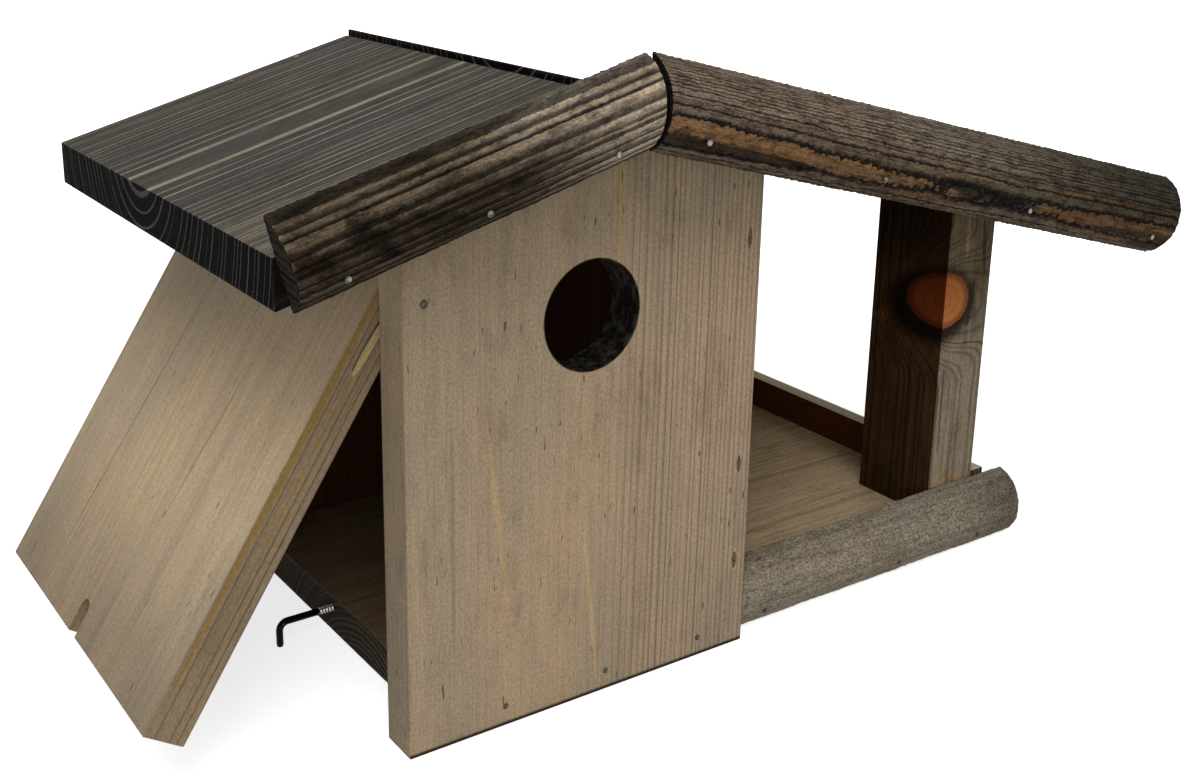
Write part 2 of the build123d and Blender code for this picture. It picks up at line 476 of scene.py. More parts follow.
# Noises of the wood, for each millimetre on a board's axes.
FIBRE = Waves(1.3, 0.03, 3.0, 0.65, height=0.12)
TOOTH = Waves(1.1, 0.7, 3.0, 0.75, height=0.16)
CLOUD = Waves(0.022, 0.008, 4.0, 0.6, (0.36, 0.64))
BAND = Waves(0.2, 0.0028, step=(0.58, 0.7))
DASH = Waves(0.62, 0.11, 1.0, step=(0.73, 0.79), height=0.2)
PORES = Waves(1.1, 0.25, 3.0, 0.7, (0.3, 0.7), 0.3)
TORN = Waves(0.3, 0.12, 5.0, 0.78, (0.4, 0.54))
SOIL = Waves(0.05, 0.022, 6.0, 0.7, (0.48, 0.74))
SPLIT = Waves(0.045, 0.0016, 1.0, step=(0.0, 0.006))
SPLIT_AREA = Waves(0.03, 0.01, 1.0, step=(0.46, 0.56))
CHIPS = Waves(0.3, 0.12, 4.0, 0.7, (0.42, 0.66))
SWEEP = Waves(0.009, 0.0022, 1.0)
RIPPLE = Waves(0.045, 0.006)
JAGS = Waves(0.5, 0.3, 2.0, 0.7)

# How squarely a face looks along a direction: on end grain, and under a shade.
BUTT_STEP = (0.55, 0.85)
FACING_STEP = (0.35, 0.8)

# Growth rings: sweep of the line against its ripple, unevenness, and where latewood is full and ends.
SWEEP_GAIN = 5
RING_RUN, RING_SPREAD = 0.6, 1.3
LATE_FULL, LATE_END, LATE_HEIGHT = 0.3, 0.9, 0.14
PLAIN_SHARE = 0.1
END_LINE_STEP = (0.0, 0.5)
PORE_TONES = (0.45, 1.35)

# Worn edges: how far fine and broad noise move the line, and its width, in millimetres.
WORN_FINE, WORN_BROAD, WORN_WIDTH = 3, 4, 1.8

SHEEN_STEP = (0.3, 0.7)


@dataclass(frozen=True)
class Reading:
    """What a wood's finish reads at each point: its places, its facing and the noises that marks share."""

    graph: Graph
    place: bpy.types.NodeSocket
    facing: bpy.types.NodeSocket
    local: bpy.types.NodeSocket
    axes: tuple[Value, Value, Value]
    late: Value
    fibre: Value
    tooth: Value
    cloud: Value
    band: Value
    dash: Value
    butt: Value
    pores: Value


@dataclass(frozen=True)
class Wood:
    """Stained softwood as a solid of growth rings about a pith line, in millimetres on the board's own axes.

    The axes run across the board, through its thickness and along its grain. Shares run from 0 to 1.
    """

    name: str
    centre: Point
    grain: Point
    face: Point
    size: Point
    pith: Pair
    ring: float
    early: Colour
    warm: Colour
    late: Colour
    end: Colour
    edge: Colour
    rings: float = 0.6
    line: float = 0.5
    heart: float = 0.0
    phase: float = 0.0
    weakest: float = 0.35
    swing: tuple[float, float, float] | None = None
    tilt: float = 0.0
    wander: float = 1.2
    tooth: float = 0.16
    fibre: float = 0.18
    cloud: float = 0.6
    bands: float = 0.25
    specks: float = 0.5
    grime: float = 0.0
    cracks: float = 0.0
    pits: float = 0.0
    jag: float = 0.0
    end_lines: float = 0.35
    end_late: Colour | None = None
    plain: Pair | None = None
    wear: float = 0.4
    relief: float = 0.5
    rough: Pair = (0.72, 0.9)
    gloss: float = 0.06
    shades: tuple[Shade, ...] = ()
    knots: tuple[Knot, ...] = ()
    streaks: tuple[Streak, ...] = ()
    bores: tuple[Bore, ...] = ()

    def turn(self) -> Point:
        """Turn of the board's own axes.

        Returns:
            Euler angles that lay X across the board, Y through it and Z along its grain.
        """
        grain, face = Vector(self.grain).normalized(), Vector(self.face).normalized()
        across = face.cross(grain)
        axes = Matrix((across, face, grain)).transposed() @ Matrix.Rotation(math.radians(self.tilt), 3, "Y")
        return tuple(axes.to_euler())

    def material(self) -> bpy.types.Material:
        """Build the finish.

        Returns:
            A material that reads the object's own coordinates.
        """
        made, graph = new_finish(self.name)
        read = self._read(graph)
        colour = self._long_grain(read)
        colour = self._end_grain(read, colour)
        colour = self._worn_and_shaded(read, colour)
        height = read.late * LATE_HEIGHT + read.fibre * FIBRE.height + read.tooth * TOOTH.height
        height = height + read.pores * read.butt * PORES.height - read.dash * DASH.height
        shader = graph.add(
            "ShaderNodeBsdfPrincipled",
            None,
            {"Base Color": colour, "Roughness": read.fibre.rise(*SHEEN_STEP, *self.rough),
             "Normal": graph.bump(height, self.relief), "Specular IOR Level": self.gloss},
        )
        graph.close(shader)
        return made

    def _read(self, graph: Graph) -> Reading:
        """Read places, facing and noises on the board's own axes.

        Args:
            graph: the finish being built.

        Returns:
            The reading.
        """
        spot = graph.add("ShaderNodeTexCoord")
        place, facing = spot.outputs["Object"], spot.outputs["Normal"]
        local = graph.add(
            "ShaderNodeMapping",
            {"vector_type": "TEXTURE"},
            {"Vector": place, "Location": self.centre, "Rotation": self.turn(), "Scale": (MM, MM, MM)},
        ).outputs[0]
        apart = graph.add("ShaderNodeSeparateXYZ", None, {0: local})
        axes = tuple(Value(graph, out) for out in apart.outputs)
        late = self._late(graph, place, local, axes)
        fibre, tooth, cloud, band = (graph.noise(local, waves) for waves in (FIBRE, TOOTH, CLOUD, BAND))
        dash = graph.noise(local, DASH).rise(*DASH.step)
        butt = abs(graph.along(facing, self.grain)).rise(*BUTT_STEP)
        pores = graph.noise(local, PORES)
        return Reading(graph, place, facing, local, axes, late, fibre, tooth, cloud, band, dash, butt, pores)

    def _long_grain(self, read: Reading) -> bpy.types.NodeSocket:
        """Colour along the grain: early wood, marks and rings, then fibre, specks, dirt, cracks and knots.

        Args:
            read: the board's reading.

        Returns:
            The colour.
        """
        graph, local = read.graph, read.local
        colour = graph.mix(read.cloud.rise(*CLOUD.step) * self.cloud, self.early, self.warm)
        for streak in self.streaks:
            colour = graph.mix(self._on_streak(read, streak), colour, streak.tone)
        contrast: Any = self.rings
        if self.plain:
            contrast = read.axes[0].rise(*self.plain, self.rings * PLAIN_SHARE, self.rings)
        colour = graph.mix(read.late * contrast, colour, self.late)
        colour = graph.mix(read.band.rise(*BAND.step) * self.bands, colour, self.warm)
        shading = read.fibre.rise(*FIBRE.step, 1 - self.fibre, 1 + self.fibre)
        shading = shading * read.tooth.rise(*TOOTH.step, 1 - self.tooth, 1 + self.tooth)
        if self.pits:
            shading = shading * graph.noise(local, TORN).rise(*TORN.step, 1 - self.pits, 1.0)
        colour = graph.times(colour, graph.grey(shading))
        colour = graph.mix(read.dash * self.specks, colour, self.end)
        if self.grime:
            soil = graph.noise(local, SOIL)
            colour = graph.mix(soil.rise(*SOIL.step, 0.0, self.grime), colour, self.end)
        if self.cracks:
            line = abs(graph.noise(local, SPLIT) - HALF)
            where = graph.noise(local, SPLIT_AREA).rise(*SPLIT_AREA.step)
            colour = graph.mix(line.rise(*SPLIT.step, self.cracks, 0.0) * where, colour, self.end)
        for knot in self.knots:
            colour = self._knotted(read, colour, knot)
        return colour

    def _end_grain(self, read: Reading, colour: Any) -> bpy.types.NodeSocket:
        """Colour with the porous end grain, and the painted shade on the walls of holes, over it.

        Args:
            read: the board's reading.
            colour: the colour along the grain.

        Returns:
            The new colour.
        """
        graph = read.graph
        end_line = read.late.rise(*END_LINE_STEP) * self.end_lines
        end_colour = graph.mix(end_line, self.end, self.end_late or self.late)
        porous = graph.grey(read.pores.rise(*PORES.step, *PORE_TONES))
        colour = graph.mix(read.butt, colour, graph.times(end_colour, porous))
        for bore in self.bores:
            # Painted shade on the walls of holes.
            off = graph.off_axis(read.place, bore.place, bore.run)
            wall = off.rise(bore.radius + bore.edge[0], bore.radius + bore.edge[1], 1.0, 0.0)
            chipped = graph.noise(read.local, CHIPS).rise(*CHIPS.step, *bore.tones) * read.pores
            colour = graph.mix(wall, colour, graph.times(bore.tone, graph.grey(chipped * bore.gain)))
        return colour

    def _worn_and_shaded(self, read: Reading, colour: Any) -> bpy.types.NodeSocket:
        """Colour with worn edges, then the Shade tones over it: painted shade where faces get less light,
        with some deeper stain and dirt.

        Args:
            read: the board's reading.
            colour: the colour of the new board.

        Returns:
            The new colour.
        """
        graph = read.graph
        if self.wear:
            near = [size / 2 - abs(axis) for size, axis in zip(self.size, read.axes)]
            second = near[0].least(near[1]).most(near[0].most(near[1]).least(near[2]))
            frayed = second + (read.tooth - HALF) * WORN_FINE + (read.cloud - HALF) * WORN_BROAD
            colour = graph.mix(frayed.rise(0.0, WORN_WIDTH, self.wear, 0.0), colour, self.edge)
        # Each Shade multiplies its tone in: mostly painted shade, some of it darker stain and dirt.
        for shade in self.shades:
            amount = graph.along(read.facing, shade.faces).rise(*FACING_STEP, 0.0, shade.amount)
            if shade.along:
                amount = amount * graph.along(read.place, shade.along).rise(shade.start, shade.end)
            colour = graph.mix(amount, colour, graph.times(colour, shade.tone))
        return colour

    def _late(self, graph: Graph, place: Any, local: Any, axes: tuple[Value, Value, Value]) -> Value:
        """Share of latewood in the growth rings.

        Args:
            graph: the finish being built.
            place: object coordinates, for the knots.
            local: millimetres on the board's axes.
            axes: the same, one by one.

        Returns:
            Zero in soft early wood, up to one in the hard lines.
        """
        across, deep, length = axes
        sweep, ripple = (graph.noise(local, waves) - HALF for waves in (SWEEP, RIPPLE))
        off_u = across - self.pith[0] + sweep * (self.wander * SWEEP_GAIN)
        off_v = deep - self.pith[1] + ripple * self.wander
        reach = (off_u * off_u + off_v * off_v + self.heart**2).root()
        for knot in self.knots:
            off = graph.off_axis(place, knot.place, knot.run) / knot.radius
            reach = reach + off.rise(*knot.bend, knot.radius * knot.push, 0.0)
        if self.jag:
            reach = reach + (graph.noise(local, JAGS) - HALF) * (self.jag * 2)
        if self.swing:
            height, half, start = self.swing
            reach = reach - (1 - ((length - start) * (math.pi / half)).cosine()) * (height / 2)
        count = reach / self.ring + self.phase
        uneven = graph.add(
            "ShaderNodeTexNoise", {"noise_dimensions": "1D"}, {"W": count * RING_RUN, "Scale": 1.0}
        )
        count = count + (Value(graph, uneven.outputs[0]) - HALF) * RING_SPREAD
        part = count.fract()
        own = graph.add("ShaderNodeTexWhiteNoise", {"noise_dimensions": "1D"}, {"W": count.floor()})
        late = part.rise(1 - self.line, 1 - LATE_FULL * self.line) * part.rise(LATE_END, 1.0, 1.0, 0.0)
        return late * (self.weakest + (1 - self.weakest) * Value(graph, own.outputs["Value"]))

    @staticmethod
    def _knotted(read: Reading, colour: Any, knot: Knot) -> bpy.types.NodeSocket:
        """The colour with one knot in it.

        Args:
            read: the board's reading, whose tooth frays the knot's outline.
            colour: the wood round the knot.
            knot: the knot.

        Returns:
            The new colour.
        """
        graph = read.graph
        off = graph.off_axis(read.place, knot.place, knot.run) / knot.radius + (read.tooth - HALF) * knot.fray
        colour = graph.mix(off.rise(*knot.halo_step, knot.halo_amount, 0.0), colour, knot.halo)
        lines = (off * knot.rings).fract().rise(*knot.ring_step, 0.0, knot.ring_amount)
        lines = lines + off.rise(*knot.rim_step, 0.0, knot.rim_amount)
        heart = graph.mix(lines, knot.core, knot.rim)
        return graph.mix(off.rise(*knot.outline, 1.0, 0.0), colour, heart)

    @staticmethod
    def _on_streak(read: Reading, streak: Streak) -> Value:
        """How much of a streak shows.

        Args:
            read: the board's reading, whose tooth frays the streak's sides.
            streak: the mark.

        Returns:
            The share of the streak's own colour.
        """
        graph, place = read.graph, read.place
        run = Vector(streak.end) - Vector(streak.start)
        share = graph.along(graph.offset(place, streak.start), run / run.length_squared)
        taper = (share * (1 - share) * 4).most(0.0).root()  # one in the middle, zero at both ends
        off = graph.off_axis(place, streak.start, run) + (read.tooth - HALF) * streak.width * streak.fray
        return (off / (taper * streak.width + streak.thinnest)).rise(streak.core, 1.0, streak.amount, 0.0)


@dataclass(frozen=True)
class Steel:
    """Drawn wire or a nail: bare metal with dark plating or stain, rubbed off past a place along X."""

    name: str
    bright: Colour
    dark: Colour
    plated: float
    scale: float
    rough: Pair = (0.28, 0.53)
    metal: float = 1.0
    rubbed: Pair | None = None
    bare_from: Pair = (0.22, 0.38)
    patch_detail: Pair = (3.0, 0.6)
    scratch_run: Pair = (5, 0.6)
    scratch: float = 0.3
    scratch_depth: float = 0.05
    relief: float = 0.3

    def material(self) -> bpy.types.Material:
        """Build the finish.

        Returns:
            A metal whose plating is worn in patches.
        """
        made, graph = new_finish(self.name)
        spot = graph.add("ShaderNodeTexCoord").outputs["Object"]
        patch = graph.noise(spot, Waves(self.scale, self.scale, *self.patch_detail))
        scratch = graph.noise(spot, Waves(*(self.scale * share for share in self.scratch_run)))
        bare = patch + (scratch - HALF) * self.scratch
        if self.rubbed:
            bare = bare + graph.along(spot, RIGHT).rise(*self.rubbed, 0.0, HALF)
        low, high = (level + self.plated * HALF for level in self.bare_from)
        cover = bare.rise(low, high, 1.0, 0.0)
        shader = graph.add(
            "ShaderNodeBsdfPrincipled",
            None,
            {"Base Color": graph.mix(cover, self.bright, self.dark), "Metallic": self.metal,
             "Roughness": scratch.rise(*SHEEN_STEP, *self.rough),
             "Normal": graph.bump(scratch * self.scratch_depth, self.relief)},
        )
        graph.close(shader)
        return made


def paint(piece: bpy.types.Object, material: bpy.types.Material) -> None:
    """Leave one material on a piece."""
    piece.data.materials.clear()
    piece.data.materials.append(material)


def dress(frame: dict[str, Any], node: str, finish: Wood) -> None:
    """Give a node of the frame its finish.

    Args:
        frame: the loaded frame.
        node: the node's name.
        finish: the wood that it is made of.
    """
    material = finish.material()
    paint(frame["nodes"][node], material)
    LOG.info("%s wears %s", node, material.name)


def middle(node: str) -> Point:
    """Middle of a node's box."""
    low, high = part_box(node)
    return tuple((low + high) / 2)


def clear_selection() -> None:
    """Deselect everything, so that an operator acts on new geometry alone."""
    bpy.ops.object.select_all(action="DESELECT")


def apply_place() -> None:
    """Leave the selected piece's place in its mesh."""
    bpy.ops.object.transform_apply(location=True, rotation=True, scale=True)


def edit_all() -> None:
    """Edit the active piece with all of it selected."""
    bpy.ops.object.mode_set(mode="EDIT")
    bpy.ops.mesh.select_all(action="SELECT")


def leave_edit(weld: float = 0.0) -> None:
    """Leave edit mode with faces turned outwards.

    Args:
        weld: distance below which points are merged first.
    """
    bpy.ops.mesh.select_all(action="SELECT")
    if weld:
        bpy.ops.mesh.remove_doubles(threshold=weld)
    bpy.ops.mesh.normals_make_consistent(inside=False)
    bpy.ops.object.mode_set(mode="OBJECT")


def smooth_below(degrees: float) -> None:
    """Shade the active piece smooth where its faces meet at less than an angle."""
    bpy.ops.object.shade_smooth_by_angle(angle=math.radians(degrees))


def settle(piece: bpy.types.Object, matrix: Matrix) -> None:
    """Carry a piece to its place and leave that place in its mesh.

    Args:
        piece: the piece, modelled about the origin.
        matrix: where it goes.
    """
    piece.matrix_world = matrix
    clear_selection()
    piece.select_set(True)
    bpy.context.view_layer.objects.active = piece
    apply_place()


def join(pieces: Sequence[bpy.types.Object], name: str) -> bpy.types.Object:
    """Join pieces into one.

    Args:
        pieces: what is joined; the first one stays.
        name: the name of the result.

    Returns:
        The joined piece.
    """
    clear_selection()
    for piece in pieces:
        piece.select_set(True)
    bpy.context.view_layer.objects.active = pieces[0]
    bpy.ops.object.join()
    pieces[0].name = name
    return pieces[0]


def put_in_frame(
    piece: bpy.types.Object, finish: bpy.types.Material, body: Body, node: str
) -> None:
    """Finish a modelled piece and tie it to the frame.

    Args:
        piece: the piece, with its place in its mesh.
        finish: its material.
        body: the body that carries it.
        node: the node that it stands for.
    """
    paint(piece, finish)
    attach(piece, body.value)
    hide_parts(node)
    LOG.info("%s made of %d faces, in %s", piece.name, len(piece.data.polygons), finish.name)


def round_radius(chord: float, depth: float) -> float:
    """Radius of a round from the width and the height of a slice of it."""
    return (chord**2 / 4 + depth**2) / (2 * depth)


@dataclass(frozen=True)
class HalfRound:
    """A rough half-round bar, its flat side on a line and its round side to the front; in metres.

    Each roughness is a pair: the scale of its clouds, and how deep they go.
    """

    name: str
    start: Point
    up: Point
    run: Point
    low: float
    chord: float
    depth: float
    length: float
    cut: tuple[Point, Point]
    taper: float = 1.0
    sides: int = 72
    voxel: float = 0.001
    swell: Pair = (0.028, 0.0006)
    saw: Pair = (0.0024, 0.0007)
    torn: Pair = (0.0045, 0.0004)
    torn_reach: float = 0.005
    octaves: int = 2
    crease: float = 50.0

    def build(self) -> bpy.types.Object:
        """Model the bar from a round: sawn flat, drawn out, tapered, cut and roughened.

        Returns:
            The bar in its place.
        """
        clear_selection()
        radius = round_radius(self.chord, self.depth)
        axes = Matrix((self.up, FRONT, self.run)).transposed()
        side = 1.0 if axes.determinant() > 0 else -1.0
        middle_up = side * (self.low + self.chord / 2)
        bpy.ops.mesh.primitive_circle_add(
            vertices=self.sides, radius=radius, fill_type="NGON", location=(middle_up, self.depth - radius, 0)
        )
        bar = bpy.context.object
        bar.name = self.name
        apply_place()
        edit_all()
        bpy.ops.mesh.bisect(plane_co=(0, 0, 0), plane_no=REAR, clear_inner=True, use_fill=False)
        bpy.ops.mesh.select_all(action="SELECT")
        bpy.ops.mesh.extrude_region_move(TRANSFORM_OT_translate={"value": (0, 0, self.length)})
        bpy.ops.mesh.select_mode(type="VERT")
        bpy.ops.mesh.select_all(action="DESELECT")
        bpy.ops.object.mode_set(mode="OBJECT")
        for vertex in bar.data.vertices:
            vertex.select = vertex.co.z > self.length / 2 and (vertex.co.x - middle_up) * side > 0
        bpy.ops.object.mode_set(mode="EDIT")
        bpy.ops.transform.resize(value=(self.taper, 1, 1), center_override=(middle_up, 0, self.length))
        leave_edit()
        turned = Matrix((Vector(self.up) * side, FRONT, self.run)).transposed().to_4x4()
        settle(bar, Matrix.Translation(self.start) @ turned)
        self._saw_off()
        self._roughen(bar)
        return bar

    def _saw_off(self) -> None:
        """Saw off what lies past the cut's plane and close the face."""
        place, away = self.cut
        edit_all()
        bpy.ops.mesh.bisect(plane_co=place, plane_no=away, clear_outer=True, use_fill=True)
        leave_edit()

    def _roughen(self, bar: bpy.types.Object) -> None:
        """Give rough timber's slow swell, saw marks and torn far end, all of them inwards.

        Args:
            bar: the smooth bar in its place.
        """
        remesh = bar.modifiers.new("skin", "REMESH")
        remesh.mode, remesh.voxel_size = "VOXEL", self.voxel
        bpy.ops.object.modifier_apply(modifier=remesh.name)
        run = Vector(self.run)
        last = max(run.dot(vertex.co) for vertex in bar.data.vertices)
        end = bar.vertex_groups.new(name="end")
        for vertex in bar.data.vertices:
            near = (last - run.dot(vertex.co)) / self.torn_reach
            end.add([vertex.index], max(0.0, 1.0 - near), "REPLACE")
        for label, (scale, strength), group in (
            ("swell", self.swell, ""), ("saw", self.saw, ""), ("torn", self.torn, end.name)
        ):
            pattern = bpy.data.textures.new(f"{self.name}_{label}", "CLOUDS")
            pattern.noise_scale, pattern.noise_depth = scale, self.octaves
            displace = bar.modifiers.new(label, "DISPLACE")
            displace.texture, displace.texture_coords = pattern, "LOCAL"
            displace.strength, displace.mid_level, displace.vertex_group = strength, 1.0, group
            bpy.ops.object.modifier_apply(modifier=displace.name)
        smooth_below(self.crease)


@dataclass
class NestBox:
    """Front and back boards, partition and the floor that runs on under the tray."""

    wall: Point = (171.0, 18.0, 239.0)
    inner_wall: Point = (173.0, 18.0, 220.0)
    floor: Point = (173.0, 18.0, 323.5)
    split: float = -0.00925
    split_fade: float = 0.012
    face: float = -0.1045
    entry: Point = (-0.09575, -0.1, 0.1685)
    entry_radius: float = 22.5
    dimple_x: float = -0.01575
    dimples: tuple[Pair, ...] = ((0.0912, 0.0835), (0.0455, 0.0375), (0.193, 0.184))

    def _mark(
        self, x: float, top: float, low: float, width: float, tone: Colour,
        lean: float = 0.0, amount: float = 0.8,
    ) -> Streak:
        """A streak on the front face, from its top down."""
        return Streak((x, self.face, top), (x + lean, self.face, low), width, tone, amount)

    def front(self) -> Wood:
        """Front board: plain to the left, close straight lines to the right.

        Returns:
            Its finish.
        """
        return Wood(
            "front_board_stain", middle("front_panel"), TOP, REAR, self.wall,
            pith=(-30.0, 46.0), ring=2.35, line=0.62, rings=0.9,
            early=stain(150, 134, 111), warm=stain(166, 142, 115), late=stain(100, 92, 80),
            end=stain(58, 51, 43), edge=stain(128, 115, 95), plain=(-6.0, 34.0), tilt=0.35, wander=0.9,
            grime=0.36, cloud=0.9, fibre=0.1, bands=0.4, tooth=0.24, specks=0.75,
            # Painted shade on the entry hole's wall.
            bores=(Bore(self.entry, REAR, self.entry_radius, stain(34, 31, 27)),),
            streaks=(
                self._mark(-0.1446, 0.135, 0.040, 2.0, RESIN, 0.0116, 0.6),
                self._mark(-0.0980, 0.078, 0.006, 1.5, RESIN, 0.0078, 0.6),
                self._mark(-0.0840, 0.240, 0.185, 5.0, stain(164, 137, 96), 0.0, 0.6),
                self._mark(-0.1600, 0.130, 0.040, 1.6, stain(112, 103, 93), 0.0, 0.35),
                *(self._mark(self.dimple_x, top, low, 1.5, CRACK) for top, low in self.dimples),
            ),
            # Painted shade on the inner face, on the left edge (which is also greyer), and under the eave at
            # the top. Painted contact shadow along the bottom edge.
            shades=(
                Shade(REAR, INSIDE_SHADE, 0.95), Shade(LEFT, stain(222, 226, 226), 0.9),
                Shade(FRONT, stain(226, 228, 228), 0.9, TOP, 0.15, 0.225),
                Shade(FRONT, stain(58, 52, 46), 0.95, UNDER, -0.0026, -0.0012),
            ),
        )

    def back(self) -> Wood:
        """Back board of the nest.

        Returns:
            Its finish.
        """
        return Wood(
            "back_board_stain", middle("back_panel"), TOP, REAR, self.wall,
            pith=(-20.0, -52.0), ring=3.1, rings=0.5,
            early=stain(154, 137, 112), warm=stain(174, 149, 116), late=stain(114, 102, 85),
            end=stain(58, 49, 39), edge=stain(136, 122, 100), cracks=0.5,
            # Painted shade on the inner face.
            shades=(Shade(FRONT, INSIDE_SHADE, 0.95),),
        )

    def partition(self) -> Wood:
        """Wall between the nest and the feeder.

        Returns:
            Its finish.
        """
        return Wood(
            "partition_stain", middle("partition_wall"), TOP, RIGHT, self.inner_wall,
            pith=(50.0, 44.0), ring=3.4,
            early=stain(146, 127, 101), warm=stain(166, 140, 106), late=stain(104, 90, 72),
            end=stain(58, 49, 39), edge=stain(128, 114, 92),
            # Painted shade on the face inside the nest.
            shades=(Shade(LEFT, INSIDE_SHADE, 0.95),),
        )

    def ground(self) -> Wood:
        """Floor board, with painted shade on it inside the nest.

        Returns:
            Its finish.
        """
        return Wood(
            "floor_stain", middle("base_board"), RIGHT, TOP, self.floor,
            pith=(-30.0, -46.0), ring=3.0,
            early=stain(190, 166, 132), warm=stain(198, 168, 128), late=stain(128, 108, 84),
            end=stain(40, 34, 27), edge=stain(128, 112, 88), fibre=0.25, grime=0.5, tooth=0.25,
            # Painted shade on the floor inside the nest.
            shades=(Shade(TOP, INSIDE_SHADE, 0.6, LEFT, -self.split, -self.split + self.split_fade),),
        )

    def dress(self, frame: dict[str, Any]) -> None:
        """Finish the four boards.

        Args:
            frame: the loaded frame.
        """
        dress(frame, "front_panel", self.front())
        dress(frame, "back_panel", self.back())
        dress(frame, "partition_wall", self.partition())
        dress(frame, "base_board", self.ground())


@dataclass
class Roof:
    """Two roof boards and the half-round trims along their front."""

    pitch: float = 15.0
    depth: float = 229.0
    thick: float = 18.0
    left_length: float = 150.0
    right_length: float = 330.0
    trim: Pair = (14.5, 37.2)
    trim_low: float = -3.4
    ridge: Point = (-0.08825, -0.1245, 0.239)
    mitre_gap: float = 1.4
    trim_taper: float = 1.14
    trim_short: float = 1.0
    # A lighter strip on each roof board just behind its trim: painted light that lifts the trim's shadow.
    lit_strip_from_front: float = 20.0
    lit_strip_width: float = 40.0

    def slope(self, side: Side) -> tuple[Point, Point]:
        """Directions down one roof side and out of its top face."""
        run, fall = math.cos(math.radians(self.pitch)), math.sin(math.radians(self.pitch))
        return (side * run, 0, -fall), (side * fall, 0, run)

    def length(self, side: Side) -> float:
        """Length of one roof side down its slope."""
        return self.left_length if side is Side.LEFT else self.right_length

    def bar(self, side: Side) -> bpy.types.Object:
        """Model one roof trim, mitred at the ridge; the right one is cut shorter and widens down the slope.

        Args:
            side: the side of the roof.

        Returns:
            The trim in its place.
        """
        down, up = self.slope(side)
        depth, chord = self.trim
        short, taper = (0.0, 1.0) if side is Side.LEFT else (self.trim_short, self.trim_taper)
        mitre = (self.ridge[0] + side * self.mitre_gap * MM / 2, 0, 0)
        return HalfRound(
            name=f"rough_trim_{side.label}", start=tuple(Vector(self.ridge) - Vector(down) * chord * MM),
            up=up, run=down, low=self.trim_low * MM, chord=chord * MM, depth=depth * MM,
            length=(self.length(side) - short + chord) * MM, cut=(mitre, (-side, 0, 0)), taper=taper,
        ).build()

    def _spot(self, side: Side, along: float, up: float) -> Point:
        """A point on a trim's round.

        Args:
            side: the side of the roof.
            along: millimetres down the slope from the ridge.
            up: millimetres out from the roof's underside.

        Returns:
            The point, in metres.
        """
        down, out = self.slope(side)
        depth, chord = self.trim
        radius = round_radius(chord, depth)
        off = up - self.trim_low - chord / 2
        stand = math.sqrt(max(radius**2 - off**2, 0.0)) - radius + depth
        reach = Vector(down) * along + Vector(out) * up + Vector(FRONT) * stand
        return tuple(Vector(self.ridge) + reach * MM)

    def _flame(
        self, side: Side, start: Pair, end: Pair, width: float, tone: Colour, amount: float, core: float = 0.6
    ) -> Streak:
        """A long mark on a trim's round, between two of its spots."""
        return Streak(self._spot(side, *start), self._spot(side, *end), width, tone, amount, core)

    def board(self, side: Side) -> Wood:
        """One roof board, dark with thin pale lines down the slope.

        Args:
            side: the side of the roof.

        Returns:
            Its finish.
        """
        down, up = self.slope(side)
        top = Vector(self.ridge) + Vector(up) * self.thick * MM + Vector((0, self.lit_strip_from_front * MM, 0))
        low = top + Vector(down) * self.right_length * MM
        return Wood(
            f"roof_stain_{side.label}", middle(f"roof_board_{side.label}"), down, up,
            (self.depth, self.thick, self.length(side)),
            pith=(-13.5, 24.0) if side is Side.LEFT else (-24.0, 30.0), heart=34.0,
            ring=4.3, line=0.27, rings=0.95, wander=2.4, weakest=0.3, grime=0.35,
            early=stain(67, 65, 62), warm=stain(74, 69, 62), late=stain(160, 148, 128),
            end=stain(9, 8, 8), end_late=stain(72, 70, 68), end_lines=0.9, edge=stain(70, 65, 58),
            wear=0.2, relief=0.8, fibre=0.5, tooth=0.25, specks=0.2, gloss=0.015,
            # Painted shade on the board's front face under the trim.
            shades=(Shade(FRONT, stain(72, 70, 68), 1.0),),
            # Painted light behind the trim, lifting its shadow.
            streaks=(Streak(tuple(top), tuple(low), self.lit_strip_width, stain(112, 104, 92), 0.6, 0.1),),
        )

    def _lip(self, side: Side, flames: Sequence[tuple[Any, ...]], **own: Any) -> Wood:
        """Rough-sawn wood of one trim.

        Args:
            side: the side of the roof.
            flames: long marks on its round.
            own: what this trim doesn't share with the other.

        Returns:
            Its finish.
        """
        down, up = self.slope(side)
        return Wood(
            f"trim_stain_{side.label}", middle(f"roof_trim_{side.label}"), down, up,
            (*self.trim, self.length(side)), rings=0.97, end=SOOT, end_late=stain(62, 56, 49),
            edge=stain(90, 80, 66), tooth=0.4, fibre=0.35, wear=0.0, relief=1.0, gloss=0.02,
            streaks=tuple(self._flame(side, *flame) for flame in flames), **own,
        )

    def left_lip(self) -> Wood:
        """Trim on the left: even tan stripes near the ridge, rough and blotched towards its low end.

        Returns:
            Its finish.
        """
        down, _ = self.slope(Side.LEFT)
        blotches = (
            ((92, 10), (180, 3), 3.4, stain(150, 110, 72), 0.3, 0.3),
            ((-80, -2), (230, -2), 4.5, SOOT, 0.75, 0.4),
            ((127, 25), (112, 5), 8.0, SOOT, 0.75, 0.1),
            ((104, 13), (84, 8), 5.0, SOOT, 0.6, 0.1),
            ((150, 30), (128, 33), 4.0, SOOT, 0.5, 0.1),
            ((148, 19), (136, 11), 6.0, stain(122, 92, 64), 0.7, 0.2),
            ((70, 12), (52, 10), 4.0, SOOT, 0.5, 0.1),
        )
        return self._lip(
            Side.LEFT, blotches, pith=(14.0, 100.0), ring=3.6, line=0.9, weakest=0.8, tilt=0.4,
            wander=0.9, jag=0.3, grime=0.5, pits=0.5,
            early=stain(188, 172, 148), warm=stain(150, 129, 108), late=stain(36, 36, 37),
            shades=(
                Shade((0, -0.7, 0.7), stain(132, 127, 120), 1.0, down, 0.03, 0.11),
                # Painted shade on the round's lower, down-facing half, deepening towards the low end.
                Shade((0, -0.7, -0.7), stain(112, 109, 106), 1.0, down, 0.0, 0.1),
            ),
        )

